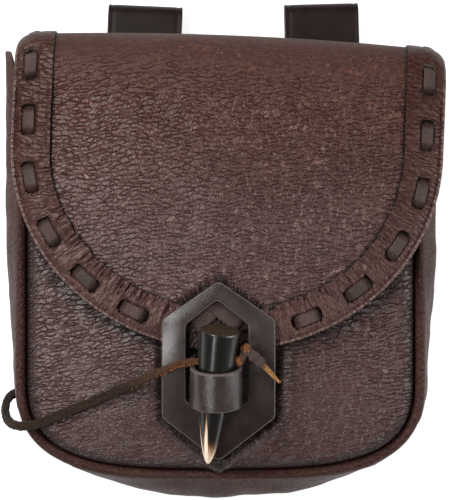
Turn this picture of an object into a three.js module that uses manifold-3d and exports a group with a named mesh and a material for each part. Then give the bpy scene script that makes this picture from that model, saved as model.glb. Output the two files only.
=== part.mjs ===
// A leather belt pouch lying on its back: a boxed body under a laced flap, a clasp plate with a window,
// a horn toggle held in a keeper loop, and two folded belt loops behind.
// Millimetres. X runs to the right seen from the front, Y up the pouch, Z out of its front.

import * as THREE from "three";
import { mergeVertices } from "three/addons/utils/BufferGeometryUtils.js";
import Module from "manifold-3d";

const wasm = await Module();
wasm.setup();

// Leather thicknesses and the clearance between pieces
const CLEAR = 0.3;
const PANEL = 1.8;
const GUSSET = 1.5;
const STRAP = 2.2;
const PLATE = 2.8;

// Body: a U outline with a superellipse bottom, the same for front, back and the gusset's seams
const body = { middle: -1.9, halfWidth: 79.2, top: 72, cornerTop: -49.8, cornerHeight: 40, squareness: 3.2 };

// Front panel: seam level, rolled rim, crown of the belly and the share of it left at the mouth
const front = { seam: 32.5, roll: 4.5, crown: 11, belly: -38, mouthShare: 0.55 };

// Gusset: the outer outline of its bulge, and where its two ends stop under the flap
const bulge = {
  middle: -1.5,
  halfWidth: 89,
  lowHalfWidth: 85.5,
  cornerTop: -54.6,
  cornerHeight: 47.6,
  squareness: 2.1,
};
const gussetEnd = {
  left: { seam: 69, belly: 79 },
  right: { seam: 62, belly: 64 },
  riseFrom: 0.6,
  riseTo: 0.95,
};

// Gusset's roll at the front seam: points out from the rim and up from the seam's level
const seamRoll = [
  { out: 0.3, up: -2.6 },
  { out: 0.6, up: 0.4 },
  { out: 2.7, up: 2.2 },
];

// Belt loops: two leaves with the belt's room between them
const loop = { width: 31, beltRoom: 5.2, frontEnd: 42, backEnd: -7.8, skiveFrom: 22, skived: 1.9 };
const loops = [
  { name: "belt_loop_left", middle: -33.2, top: 102.4, tilt: -2.5 },
  { name: "belt_loop_right", middle: 40.2, top: 103.2, tilt: 1.5 },
];

// Back panel: flat where it lies, lifted above the belt loops and the flap's tail
const back = {
  outset: 1.6,
  top: 66,
  flatTop: -30,
  liftedFrom: 50,
  lift: 2 * STRAP + loop.beltRoom + PANEL + 2 * CLEAR,
};

// Flap: cut as a long U, then bent over the top; its axis leans a little to the right
const flap = {
  halfWidth: 88,
  ovalMiddle: 40.5,
  ovalHeight: 81,
  above: 2.4,
  crownHalfWidth: 92,
  sideDrop: 3,
  sideFrom: 66,
  topInner: 85.3,
  frontRadius: 12.6,
  backRadius: 9,
  tailEnd: 58,
  sag: 1.8,
  sagWidth: 70,
  sagLead: 26,
  cornerDroop: 7,
  cornerWidth: 10,
  lean: THREE.MathUtils.degToRad(2.3),
  leanAbout: 20,
};

// Border strip on the flap's edge: its gathers, which fade out under the plate, and its room in the folds
const border = {
  width: 16,
  leather: 1.8,
  columns: 96,
  gathers: 52,
  gatherRise: 0.45,
  gatherScallop: 0.7,
  fadeFrom: 34,
  fadeTo: 24,
  foldRoom: 0.45,
};

// Lace: a flat thong, over for one stitch and under for the rest of the pitch
const lace = { width: 4.7, leather: 1.3, inset: 6.9, pitch: 23.8, stitch: 12, dive: 5, firstStitch: 33.2 };
const slit = { length: 5.8, width: 5.8 };

// Clasp plate and its window, both six-sided: top, shoulder, hip and bottom heights
const plate = {
  middle: -2.6,
  halfWidth: 22.8,
  top: -12.4,
  shoulder: -28,
  hip: -67.4,
  bottom: -85.4,
  above: 4.9,
  bendFrom: -45,
  bendLength: 40,
  bendDrop: 9.5,
  sideDrop: 0.8,
};
const pane = { middle: -3.2, halfWidth: 12.6, top: -19.9, shoulder: -30, hip: -61, bottom: -67 };

// Horn toggle: its sawn top, its tip, and radius along it
const horn = {
  top: new THREE.Vector3(-2.2, -31.7, 70.1),
  tip: new THREE.Vector3(-6.9, -85.8, 56.1),
  holeAt: 0.235,
  holeRadius: 2.5,
  sides: 20,
  profile: [
    { share: 0, radius: 7.6 },
    { share: 0.012, radius: 8.1 },
    { share: 0.31, radius: 7.0 },
    { share: 0.62, radius: 5.4 },
    { share: 0.82, radius: 3.8 },
    { share: 0.93, radius: 2.1 },
    { share: 0.98, radius: 1.1 },
  ],
};

// Keeper loop round the horn: middle of its bend, inner radius, strap width and lean
const keeper = {
  middle: new THREE.Vector3(-3.5, -54.4, 63.6),
  radius: 8.2,
  width: 16,
  leg: 25,
  lean: THREE.MathUtils.degToRad(15),
};

// Toggle thong: its route from the knot through the horn, over the front and round the left edge
const thong = {
  radius: 1.8,
  sides: 8,
  steps: 28,
  holeRadius: 2.8,
  route: [
    { x: 4.6, y: -44.3, z: 66.8 },
    { x: -3.4, y: -44.3, z: 66.8 },
    { x: -12.5, y: -44.1, z: 66.8 },
    { x: -18, y: -45, z: 65 },
    { x: -23, y: -47.2, z: 61.8 },
    { x: -28.5, y: -49.8, z: 57.6 },
    { x: -35.7, y: -53.5, z: 51.4 },
    { x: -44.3, y: -57.3, z: 46.6 },
    { x: -53.4, y: -61.4, z: 44.4 },
    { x: -61.9, y: -64.7, z: 42.8 },
    { x: -71, y: -68.6, z: 41.2 },
    { x: -78, y: -71.2, z: 39.6 },
    { x: -84.4, y: -71.9, z: 35.4 },
    { x: -88.6, y: -70.6, z: 29.6 },
    { x: -90.6, y: -67.4, z: 24 },
    { x: -90.8, y: -63.8, z: 19 },
    { x: -89.4, y: -60.9, z: 14 },
    { x: -86.6, y: -59.3, z: 11 },
    { x: -83.5, y: -58.4, z: 9.6 },
    { x: -80.5, y: -57.8, z: 9 },
  ],
};

// Knot and tail at the toggle's right side
const knot = {
  sides: 8,
  steps: 12,
  route: [
    { x: 5, y: -44.3, z: 66.8, radius: 1.8 },
    { x: 7.4, y: -44.1, z: 66.7, radius: 2.3 },
    { x: 9.6, y: -42.4, z: 66.4, radius: 4 },
    { x: 12.8, y: -42.6, z: 66, radius: 4.2 },
    { x: 15.2, y: -44.6, z: 65, radius: 2.7 },
    { x: 17.8, y: -47.6, z: 63.4, radius: 1.9 },
    { x: 21, y: -51.8, z: 61.2, radius: 0.9 },
  ],
};

const { lerp, smoothstep, clamp } = THREE.MathUtils;

// Turn a list of points and triangles into one welded, outward-facing geometry
function welded(positions, triangles) {
  const loose = new THREE.BufferGeometry();
  loose.setAttribute("position", new THREE.Float32BufferAttribute(positions, 3));
  loose.setIndex(triangles);
  const merged = mergeVertices(loose, 1e-3);
  const corners = merged.index.array;
  const kept = [];
  for (let t = 0; t < corners.length; t += 3) {
    const [a, b, c] = corners.slice(t, t + 3);
    if (a !== b && b !== c && c !== a) kept.push(a, b, c);
  }
  merged.setIndex(kept);
  return facingOut(merged);
}

function facingOut(geometry) {
  const place = geometry.attributes.position;
  const corners = geometry.index.array;
  const [a, b, c] = [new THREE.Vector3(), new THREE.Vector3(), new THREE.Vector3()];
  let volume = 0;
  for (let t = 0; t < corners.length; t += 3) {
    a.fromBufferAttribute(place, corners[t]);
    b.fromBufferAttribute(place, corners[t + 1]);
    c.fromBufferAttribute(place, corners[t + 2]);
    volume += a.dot(b.cross(c));
  }
  if (volume < 0) geometry.setIndex(Array.from(corners).reverse());
  return geometry;
}

// Positions only, with shared vertices merged, from any three.js geometry
function bare(geometry) {
  geometry.deleteAttribute("normal");
  geometry.deleteAttribute("uv");
  return mergeVertices(geometry, 1e-3);
}

function solidOf(geometry) {
  return new wasm.Manifold(
    new wasm.Mesh({
      numProp: 3,
      vertProperties: Float32Array.from(geometry.attributes.position.array),
      triVerts: Uint32Array.from(geometry.index.array),
    }),
  );
}

function geometryOf(solid) {
  const mesh = solid.getMesh();
  const geometry = new THREE.BufferGeometry();
  geometry.setAttribute("position", new THREE.Float32BufferAttribute(mesh.vertProperties, 3));
  geometry.setIndex(Array.from(mesh.triVerts));
  return geometry;
}

function cutBy(geometry, cutters) {
  let solid = solidOf(geometry);
  for (const cutter of cutters) solid = solid.subtract(solidOf(bare(cutter)));
  return geometryOf(solid);
}

// Move every vertex through a bend
function bent(geometry, bend) {
  const place = geometry.attributes.position;
  for (let i = 0; i < place.count; i++) place.setXYZ(i, ...bend(place.getX(i), place.getY(i), place.getZ(i)));
  return geometry;
}

// A closed sheet over a grid: point(column, row, face) gives its outer face (0) and inner face (1).
// With joined set, the last row meets itself and needs no rim.
function closedSheet(columns, rows, point, joined = false) {
  const positions = [];
  const triangles = [];
  const stride = rows + 1;
  const at = (i, k, face) => (face * (columns + 1) + i) * stride + k;
  const quad = (a, b, c, d) => triangles.push(a, b, c, a, c, d);
  for (const face of [0, 1]) {
    for (let i = 0; i <= columns; i++) {
      for (let k = 0; k <= rows; k++) positions.push(...point(i, k, face));
    }
  }
  for (let i = 0; i < columns; i++) {
    for (let k = 0; k < rows; k++) {
      quad(at(i, k, 0), at(i + 1, k, 0), at(i + 1, k + 1, 0), at(i, k + 1, 0));
      quad(at(i, k, 1), at(i, k + 1, 1), at(i + 1, k + 1, 1), at(i + 1, k, 1));
    }
    quad(at(i, 0, 1), at(i + 1, 0, 1), at(i + 1, 0, 0), at(i, 0, 0));
    if (!joined) quad(at(i, rows, 0), at(i + 1, rows, 0), at(i + 1, rows, 1), at(i, rows, 1));
  }
  for (let k = 0; k < rows; k++) {
    quad(at(0, k, 0), at(0, k + 1, 0), at(0, k + 1, 1), at(0, k, 1));
    quad(at(columns, k, 1), at(columns, k + 1, 1), at(columns, k + 1, 0), at(columns, k, 0));
  }
  return welded(positions, triangles);
}

// A tube of round sections along a curve, with a radius at each share of its length
function tube(curve, steps, sides, radiusAt) {
  const frames = curve.computeFrenetFrames(steps);
  const positions = [];
  const triangles = [];
  for (let i = 0; i <= steps; i++) {
    const centre = curve.getPointAt(i / steps);
    for (let k = 0; k < sides; k++) {
      const turn = (2 * Math.PI * k) / sides;
      const spot = centre.clone();
      spot.addScaledVector(frames.normals[i], radiusAt(i / steps) * Math.cos(turn));
      spot.addScaledVector(frames.binormals[i], radiusAt(i / steps) * Math.sin(turn));
      positions.push(...spot);
    }
  }
  const at = (i, k) => i * sides + (k % sides);
  for (let i = 0; i < steps; i++) {
    for (let k = 0; k < sides; k++) {
      triangles.push(at(i, k), at(i + 1, k), at(i + 1, k + 1), at(i, k), at(i + 1, k + 1), at(i, k + 1));
    }
  }
  for (let k = 1; k < sides - 1; k++) {
    triangles.push(at(0, 0), at(0, k), at(0, k + 1), at(steps, 0), at(steps, k + 1), at(steps, k));
  }
  return welded(positions, triangles);
}

// Stations round a U outline, from the left end, round the bottom, to the right end.
// heights lists the straight sides' stations from the top down to the corner.
function uStations(outline, heights, turns) {
  const power = 2 / outline.squareness;
  const sides = heights.map((height) => ({ side: 1, height, drop: 0 }));
  const corner = [];
  for (let i = 0; i <= turns; i++) {
    const angle = (Math.PI * i) / turns;
    const across = -Math.cos(angle);
    corner.push({
      side: Math.sign(across) * Math.abs(across) ** power,
      height: outline.cornerTop,
      drop: Math.max(0, Math.sin(angle)) ** power,
    });
  }
  const left = sides.map((station) => ({ ...station, side: -1 }));
  return [...left, ...corner, ...sides.reverse()];
}

// A point of a U outline shrunk towards its axis, share 1 on the rim and 0 on the axis
function ringPoint(outline, station, share) {
  return [
    outline.middle + share * station.side * outline.halfWidth,
    station.height - share * station.drop * outline.cornerHeight,
  ];
}

// The outward direction of a U outline at a station
function rimNormal(outline, station) {
  const power = outline.squareness - 1;
  const across = (Math.sign(station.side) * Math.abs(station.side) ** power) / outline.halfWidth;
  const down = station.drop ** power / outline.cornerHeight;
  const length = Math.hypot(across, down);
  return [across / length, -down / length];
}

// How far inside the body's rim a point lies
function rimDistance(x, y) {
  const across = Math.abs(x - body.middle) / body.halfWidth;
  const down = Math.max(0, body.cornerTop - y) / body.cornerHeight;
  const n = body.squareness;
  const level = (across ** n + down ** n) ** (1 / n);
  if (level < 1e-6) return body.halfWidth;
  const slope = Math.hypot(
    (across / level) ** (n - 1) / body.halfWidth,
    (down / level) ** (n - 1) / body.cornerHeight,
  );
  return (1 - level) / slope;
}

// Share of the crown along the pouch's height
function crownShare(y) {
  const bottom = body.cornerTop - body.cornerHeight;
  const up = (y - front.belly) / (body.top - front.belly);
  const down = (front.belly - y) / (front.belly - bottom);
  return y > front.belly ? 1 - (1 - front.mouthShare) * up ** 2 : Math.max(0, 1 - down ** 2);
}

// Heights of the front's outer face, of the flap's inner face and of the back's lower face
function frontHeight(x, y) {
  const away = clamp(rimDistance(x, y) / front.roll, 0, 1);
  const roll = front.roll * Math.sqrt(1 - (1 - away) ** 2);
  const across = 1 - ((x - body.middle) / body.halfWidth) ** 2;
  return front.seam + roll + front.crown * crownShare(y) * Math.max(0, across);
}

function flapHeight(u, y) {
  const across = 1 - (u / flap.crownHalfWidth) ** 2;
  const beyond = Math.max(0, Math.abs(u) - flap.sideFrom) / (flap.halfWidth - flap.sideFrom);
  const base = front.seam + front.roll + flap.above;
  return base + front.crown * crownShare(y) * across - flap.sideDrop * beyond ** 2;
}

function backHeight(y) {
  return back.lift * smoothstep(y, back.flatTop, back.liftedFrom);
}

// The way out of a height surface
function surfaceNormal(height, x, y) {
  const reach = 0.05;
  const slopeX = (height(x + reach, y) - height(x - reach, y)) / (2 * reach);
  const slopeY = (height(x, y + reach) - height(x, y - reach)) / (2 * reach);
  return new THREE.Vector3(-slopeX, -slopeY, 1).normalize();
}

const SIDE_ROWS = [50, 36, 22, 8, -6, -18, -30];

function frontPanel() {
  const rings = [1, 0.988, 0.965, 0.93, 0.86, 0.68, 0.36, 0];
  const stations = uStations(body, [body.top, ...SIDE_ROWS], 22);
  const sheet = closedSheet(
    stations.length - 1,
    rings.length - 1,
    (i, k, face) => {
      const [x, y] = ringPoint(body, stations[i], rings[k]);
      const spot = new THREE.Vector3(x, y, frontHeight(x, y));
      return spot.addScaledVector(surfaceNormal(frontHeight, x, y), -face * PANEL);
    },
    true,
  );
  return cutBy(sheet, keeperLegs(CLEAR));
}

function backPanel() {
  const rings = [1, 0.8, 0.5, 0];
  const outline = {
    ...body,
    halfWidth: body.halfWidth + back.outset,
    cornerHeight: body.cornerHeight + back.outset,
  };
  const stations = uStations(outline, [back.top, ...SIDE_ROWS], 22);
  return closedSheet(
    stations.length - 1,
    rings.length - 1,
    (i, k, face) => {
      const [x, y] = ringPoint(outline, stations[i], rings[k]);
      return [x, y, backHeight(y) + face * PANEL];
    },
    true,
  );
}

// How far the gusset bulges past the seam, along the rim's normal
function bulgeReach(rim, normal) {
  const outside = (reach) => {
    const x = rim[0] + reach * normal[0];
    const y = rim[1] + reach * normal[1];
    const half = lerp(bulge.lowHalfWidth, bulge.halfWidth, smoothstep(y, bulge.cornerTop, 0));
    const across = Math.abs(x - bulge.middle) / half;
    const down = Math.max(0, bulge.cornerTop - y) / bulge.cornerHeight;
    return across ** bulge.squareness + down ** bulge.squareness > 1;
  };
  let [near, far] = [5, 20];
  for (let i = 0; i < 30; i++) {
    const middle = (near + far) / 2;
    if (outside(middle)) far = middle;
    else near = middle;
  }
  return near;
}

// The gusset's section from the front seam's groove, over the roll and the bulge, to the back seam
function gussetSection(reach, y) {
  const low = backHeight(y) + PANEL + CLEAR;
  const high = front.seam;
  const wide = lerp(low, high, 0.55);
  return new THREE.SplineCurve([
    ...seamRoll.map(({ out, up }) => new THREE.Vector2(out, high + up)),
    new THREE.Vector2(Math.min(5, reach - 0.3), high - 0.2),
    new THREE.Vector2(reach, wide),
    new THREE.Vector2(0.7 * reach + 0.4, lerp(low, wide, 0.35)),
    new THREE.Vector2(1.4, low),
  ]);
}

function gusset() {
  const rows = 10;
  const stations = uStations(body, [body.top, ...SIDE_ROWS], 28);
  const sheet = closedSheet(stations.length - 1, rows, (i, k, face) => {
    const rim = ringPoint(body, stations[i], 1);
    const normal = rimNormal(body, stations[i]);
    const reach = bulgeReach(rim, normal);
    const section = gussetSection(reach, rim[1]);
    const spot = section.getPoint(k / rows);
    const way = section.getTangent(k / rows);
    if (stations[i].height === body.top) {
      const end = normal[0] < 0 ? gussetEnd.left : gussetEnd.right;
      const share = smoothstep(spot.x / reach, gussetEnd.riseFrom, gussetEnd.riseTo);
      rim[1] = lerp(end.seam, end.belly, share);
    }
    const out = spot.x + face * GUSSET * way.y;
    const height = spot.y - face * GUSSET * way.x;
    return [rim[0] + out * normal[0], rim[1] + out * normal[1], height];
  });
  return cutBy(sheet, [thongHole()]);
}

// The hole at the back seam that the thong's end goes into
function thongHole() {
  const [outside, , inside] = thong.route.slice(-3).map(({ x, y, z }) => new THREE.Vector3(x, y, z));
  return rodBetween(inside, outside, thong.holeRadius, 2, 12);
}

// A round rod between two points, running past each by extra
function rodBetween(start, end, radius, extra, sides) {
  const way = end.clone().sub(start);
  const rod = new THREE.CylinderGeometry(radius, radius, way.length() + 2 * extra, sides);
  rod.applyQuaternion(new THREE.Quaternion().setFromUnitVectors(new THREE.Vector3(0, 1, 0), way.normalize()));
  const middle = start.clone().lerp(end, 0.5);
  return rod.translate(middle.x, middle.y, middle.z);
}

// The flap's bend along its length: v is 0 at the oval's middle and grows over the top to the tail
const shoulder = flap.topInner - flap.frontRadius;
const frontArc = { y: shoulder, z: flapHeight(0, shoulder) - flap.frontRadius };
const tailFace = 2 * STRAP + loop.beltRoom + CLEAR + PANEL;
const backArc = { y: flap.topInner - flap.backRadius, z: tailFace + flap.backRadius };
const foldStart = shoulder - flap.ovalMiddle;
const topStart = foldStart + (flap.frontRadius * Math.PI) / 2;
const topEnd = topStart + frontArc.z - backArc.z;
const tailStart = topEnd + (flap.backRadius * Math.PI) / 2;
const flapLength = tailStart + backArc.y - flap.tailEnd;

// A point w above the flap's inner face, at u across and v along the flat leather
function flapPoint(u, v, w) {
  let y = flap.ovalMiddle + v;
  let z = flapHeight(u, y);
  let [outY, outZ] = [0, 1];
  if (v > foldStart) {
    const fade = 1 - smoothstep(v, foldStart, topEnd);
    const side = (flapHeight(u, shoulder) - flapHeight(0, shoulder)) * fade;
    if (v <= topStart) {
      const turn = (v - foldStart) / flap.frontRadius;
      [outY, outZ] = [Math.sin(turn), Math.cos(turn)];
      y = frontArc.y + flap.frontRadius * outY;
      z = frontArc.z + flap.frontRadius * outZ + side;
    } else if (v <= topEnd) {
      [outY, outZ] = [1, 0];
      y = flap.topInner;
      z = frontArc.z - (v - topStart) + side;
    } else if (v <= tailStart) {
      const turn = (v - topEnd) / flap.backRadius;
      [outY, outZ] = [Math.cos(turn), -Math.sin(turn)];
      y = backArc.y + flap.backRadius * outY;
      z = backArc.z + flap.backRadius * outZ;
    } else {
      [outY, outZ] = [0, -1];
      y = backArc.y - (v - tailStart);
      z = tailFace;
    }
  }
  const beyond = clamp((Math.abs(u) - flap.halfWidth + flap.cornerWidth) / flap.cornerWidth, 0, 1);
  const droop = flap.cornerDroop * beyond ** 2;
  const sag = flap.sag * (u / flap.sagWidth) ** 2;
  y += outY * w - smoothstep(v, foldStart - flap.sagLead, topStart) * (sag + droop);
  z += outZ * w;
  const [cos, sin] = [Math.cos(flap.lean), Math.sin(flap.lean)];
  const rise = y - flap.leanAbout;
  return [u * cos + rise * sin, flap.leanAbout + rise * cos - u * sin, z];
}

// Extra room between the flap's layers where it folds
function foldRoom(v) {
  const opening = smoothstep(v, foldStart - 14, foldStart - 4);
  const closing = smoothstep(v, tailStart, tailStart + 6);
  return border.foldRoom * opening * (1 - closing);
}

// The flat place on the flap over a point of the front
function onFlap(x, y) {
  const [cos, sin] = [Math.cos(flap.lean), Math.sin(flap.lean)];
  const rise = y - flap.leanAbout;
  return [x * cos - rise * sin, flap.leanAbout + rise * cos + x * sin - flap.ovalMiddle];
}

const flapOutline = {
  middle: 0,
  halfWidth: flap.halfWidth,
  cornerTop: 0,
  cornerHeight: flap.ovalHeight,
  squareness: 2,
};

// Rows in the folds and on the flats, and columns near the edge, shared by the flap and its border
const FOLD_ROWS = 5;
const FLAT_ROWS = 2;
const EDGE_INSETS = [0, 3.3, 6.6, 10, border.width];

// Heights along the flap's straight sides, close together in the folds
function flapRows(inFold, onFlat) {
  const rows = [flapLength];
  const stretches = [
    [flapLength, tailStart, onFlat],
    [tailStart, topEnd, inFold],
    [topEnd, topStart, onFlat],
    [topStart, foldStart, inFold],
    [foldStart, 0, onFlat + 1],
  ];
  for (const [from, to, count] of stretches) {
    for (let i = 1; i <= count; i++) rows.push(lerp(from, to, i / count));
  }
  return rows.slice(0, -1);
}

// A line round the flap, inset from its edge: distance 0 is the oval's middle on the left side,
// growing round the oval, and negative up the left side and over the top
function flapEdge(inset) {
  const wide = flap.halfWidth - inset;
  const high = flap.ovalHeight - inset;
  const parts = 400;
  const lengths = [0];
  const spot = (i) => [-wide * Math.cos((Math.PI * i) / parts), -high * Math.sin((Math.PI * i) / parts)];
  for (let i = 1; i <= parts; i++) {
    const [a, b] = [spot(i - 1), spot(i)];
    lengths.push(lengths[i - 1] + Math.hypot(b[0] - a[0], b[1] - a[1]));
  }
  const round = lengths[parts];
  const at = (distance) => {
    if (distance <= 0) return [-wide, -distance];
    if (distance >= round) return [wide, distance - round];
    const i = lengths.findIndex((length) => length >= distance);
    const part = (distance - lengths[i - 1]) / (lengths[i] - lengths[i - 1]);
    const [a, b] = [spot(i - 1), spot(i)];
    return [lerp(a[0], b[0], part), lerp(a[1], b[1], part)];
  };
  return { round, at };
}

// Distances of the left lace's stitches along its line; the right lace mirrors them
const laceLine = flapEdge(lace.inset);
const stitchMiddles = [];
for (let i = -1; i < 6; i++) stitchMiddles.push(i * lace.pitch - lace.firstStitch);

// The place and direction on the lace's line, mirrored for the right side
function laceSpot(distance, mirror) {
  const [u, v] = laceLine.at(distance);
  const [ahead, over] = laceLine.at(distance + 0.1);
  const way = new THREE.Vector2(mirror * (ahead - u), over - v).normalize();
  return { u: mirror * u, v, way };
}

// The window's laces: each comes up through a slit low in the window and ends at its peak
const windowLaces = [
  { name: "window_lace_left", from: [-13.1, -31.5], to: [-5.9, -25.8] },
  { name: "window_lace_right", from: [6.7, -31.5], to: [-3.9, -23] },
];

function windowSpot(ends, distance) {
  const start = new THREE.Vector2(...onFlap(...ends.from));
  const way = new THREE.Vector2(...onFlap(...ends.to)).sub(start).normalize();
  return { u: start.x + distance * way.x, v: start.y + distance * way.y, way };
}

// One slit through border and flap, across the lace's way
function slitCutter({ u, v, way }) {
  const box = new THREE.BoxGeometry(slit.length, slit.width, 30);
  box.rotateZ(Math.atan2(way.y, way.x));
  return box.translate(u, v, 0);
}

function slits() {
  const cutters = windowLaces.map((ends) => slitCutter(windowSpot(ends, 0)));
  for (const mirror of [1, -1]) {
    for (const middle of stitchMiddles) {
      for (const end of [-0.5, 0.5]) cutters.push(slitCutter(laceSpot(middle + end * lace.stitch, mirror)));
    }
  }
  return cutters;
}

function flapSheet() {
  const rings = [...EDGE_INSETS.map((inset) => 1 - inset / flap.halfWidth), 0.45, 0];
  const stations = uStations(flapOutline, flapRows(FOLD_ROWS, FLAT_ROWS), 28);
  const sheet = closedSheet(
    stations.length - 1,
    rings.length - 1,
    (i, k, face) => [...ringPoint(flapOutline, stations[i], rings[k]), (1 - face) * PANEL],
    true,
  );
  return bent(cutBy(sheet, slits()), flapPoint);
}

// The border's ripple along its gathers, fading out under the clasp plate
function gather(distance, round) {
  const fromMiddle = Math.abs(distance - round / 2);
  const strength = smoothstep(fromMiddle, border.fadeTo, border.fadeFrom);
  return strength * Math.sin((Math.PI * border.gathers * distance) / round);
}

function flapBorder() {
  const edge = flapEdge(0);
  const low = PANEL + CLEAR;
  const count = border.columns;
  const distances = [];
  const side = flapRows(FOLD_ROWS, FLAT_ROWS).filter((height) => height > foldStart + 0.5);
  for (const height of side) distances.push(-height);
  for (let i = 0; i <= count; i++) distances.push(lerp(-foldStart, edge.round + foldStart, i / count));
  for (const height of side.reverse()) distances.push(edge.round + height);
  const sheet = closedSheet(distances.length - 1, EDGE_INSETS.length - 1, (i, k, face) => {
    const ripple = gather(distances[i], edge.round);
    const inner = k === EDGE_INSETS.length - 1 ? border.gatherScallop * ripple : 0;
    const rise = k === 0 || k === EDGE_INSETS.length - 1 ? border.gatherRise * ripple : 0;
    const [u, v] = insetSpot(distances[i], EDGE_INSETS[k] + inner);
    const bottom = low + foldRoom(v);
    return [u, v, face === 0 ? bottom + border.leather + rise : bottom];
  });
  return bent(cutBy(sheet, slits()), flapPoint);
}

// A spot inset from the flap's edge, opposite a distance along that edge
function insetSpot(distance, inset) {
  const edge = flapEdge(0);
  const [u, v] = edge.at(distance);
  const [ahead, over] = edge.at(distance + 0.1);
  const length = Math.hypot(ahead - u, over - v);
  return [u - (inset * (over - v)) / length, v + (inset * (ahead - u)) / length];
}

// Height of a lace's middle along its line, above the border in a stitch and below the flap between
const laceOver = PANEL + CLEAR + border.leather + CLEAR + lace.leather / 2;
const laceUnder = -CLEAR - lace.leather / 2;

function laceHeight(distance, stitches) {
  let over = 0;
  for (const [from, to] of stitches) {
    const rise = smoothstep(distance, from - lace.dive / 2, from + lace.dive / 2);
    const fall = smoothstep(distance, to - lace.dive / 2, to + lace.dive / 2);
    over += rise - fall;
  }
  return lerp(laceUnder, laceOver, over);
}

// A flat thong along a line of the flap, in and out of the leather
function laceSheet(spotAt, start, end, stitches) {
  const steps = [];
  const bends = stitches.flat();
  for (let d = start; d < end; d += 0.5) {
    const nearBend = bends.some((bend) => Math.abs(d - bend) < lace.dive / 2 + 0.6);
    if (steps.length === 0 || d - steps.at(-1) >= (nearBend ? 1.2 : 4)) steps.push(d);
  }
  steps.push(end);
  const sheet = closedSheet(steps.length - 1, 1, (i, k, face) => {
    const { u, v, way } = spotAt(steps[i]);
    const slope = (laceHeight(steps[i] + 0.05, stitches) - laceHeight(steps[i] - 0.05, stitches)) / 0.1;
    const lean = Math.atan(slope);
    const lift = (0.5 - face) * lace.leather;
    const shift = -lift * Math.sin(lean);
    const across = (k - 0.5) * lace.width;
    return [
      u + shift * way.x - across * way.y,
      v + shift * way.y + across * way.x,
      laceHeight(steps[i], stitches) * (1 + 0.4 * foldRoom(v)) + lift * Math.cos(lean),
    ];
  });
  return bent(sheet, flapPoint);
}

function edgeLace(mirror) {
  const stitches = stitchMiddles.map((middle) => [middle - lace.stitch / 2, middle + lace.stitch / 2]);
  const start = stitches[0][0] - 4;
  const end = stitches.at(-1)[1] + 5;
  return laceSheet((distance) => laceSpot(distance, mirror), start, end, stitches);
}

function windowLace(ends) {
  const length = Math.hypot(ends.to[0] - ends.from[0], ends.to[1] - ends.from[1]);
  const beyond = length + lace.dive;
  return laceSheet((distance) => windowSpot(ends, distance), -5, length, [[0, beyond]]);
}

// Six corners of the plate or its window, from the top to the right and round
function hexagon({ middle, halfWidth, top, shoulder: upper, hip, bottom }) {
  return [
    [middle, top],
    [middle + halfWidth, upper],
    [middle + halfWidth, hip],
    [middle, bottom],
    [middle - halfWidth, hip],
    [middle - halfWidth, upper],
  ];
}

// The plate's inner face: level over the flap, bending down over the front panel
function plateHeight(x, y) {
  const past = Math.max(0, plate.bendFrom - y) / plate.bendLength;
  const across = (x - plate.middle) / plate.halfWidth;
  const level = flapHeight(0, front.belly) + plate.above;
  return level - plate.bendDrop * past ** 2 - plate.sideDrop * across ** 2;
}

function claspPlate() {
  const steps = 4;
  const rings = 2;
  const outer = hexagon(plate);
  const inner = hexagon(pane);
  const around = (corners, i) => {
    const [a, b] = [corners[Math.floor(i / steps) % 6], corners[(Math.floor(i / steps) + 1) % 6]];
    const part = (i % steps) / steps;
    return [lerp(a[0], b[0], part), lerp(a[1], b[1], part)];
  };
  const count = 6 * steps;
  const positions = [];
  const triangles = [];
  for (const face of [0, 1]) {
    for (let i = 0; i < count; i++) {
      for (let k = 0; k <= rings; k++) {
        const [a, b] = [around(outer, i), around(inner, i)];
        const [x, y] = [lerp(a[0], b[0], k / rings), lerp(a[1], b[1], k / rings)];
        positions.push(x, y, plateHeight(x, y) + (1 - face) * PLATE);
      }
    }
  }
  const at = (i, k, face) => (face * count + (i % count)) * (rings + 1) + k;
  const quad = (a, b, c, d) => triangles.push(a, b, c, a, c, d);
  for (let i = 0; i < count; i++) {
    for (let k = 0; k < rings; k++) {
      quad(at(i, k, 0), at(i + 1, k, 0), at(i + 1, k + 1, 0), at(i, k + 1, 0));
      quad(at(i, k, 1), at(i, k + 1, 1), at(i + 1, k + 1, 1), at(i + 1, k, 1));
    }
    quad(at(i, 0, 1), at(i + 1, 0, 1), at(i + 1, 0, 0), at(i, 0, 0));
    quad(at(i, rings, 0), at(i + 1, rings, 0), at(i + 1, rings, 1), at(i, rings, 1));
  }
  return welded(positions, triangles);
}

// The keeper's place: its section stands in X and Z, its width lies along the leaning Y
function inKeeper(geometry) {
  geometry.rotateX(Math.PI / 2);
  geometry.translate(0, keeper.width / 2, 0);
  geometry.rotateX(keeper.lean);
  return geometry.translate(...keeper.middle);
}

function keeperLoop() {
  const outer = keeper.radius + STRAP;
  const section = new THREE.Shape();
  section.moveTo(outer, -keeper.leg);
  section.lineTo(outer, 0);
  section.absarc(0, 0, outer, 0, Math.PI, false);
  section.lineTo(-outer, -keeper.leg);
  section.lineTo(-keeper.radius, -keeper.leg);
  section.lineTo(-keeper.radius, 0);
  section.absarc(0, 0, keeper.radius, Math.PI, 0, true);
  section.lineTo(keeper.radius, -keeper.leg);
  section.closePath();
  const strap = { depth: keeper.width, bevelEnabled: false, curveSegments: 14 };
  return bare(inKeeper(new THREE.ExtrudeGeometry(section, strap)));
}

// The keeper's two legs with a margin, to cut their slits in the front panel
function keeperLegs(margin) {
  return [-1, 1].map((side) => {
    const leg = new THREE.BoxGeometry(STRAP + 2 * margin, keeper.leg, keeper.width + 2 * margin);
    leg.translate(side * (keeper.radius + STRAP / 2), -keeper.leg, keeper.width / 2);
    return inKeeper(leg);
  });
}

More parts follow.
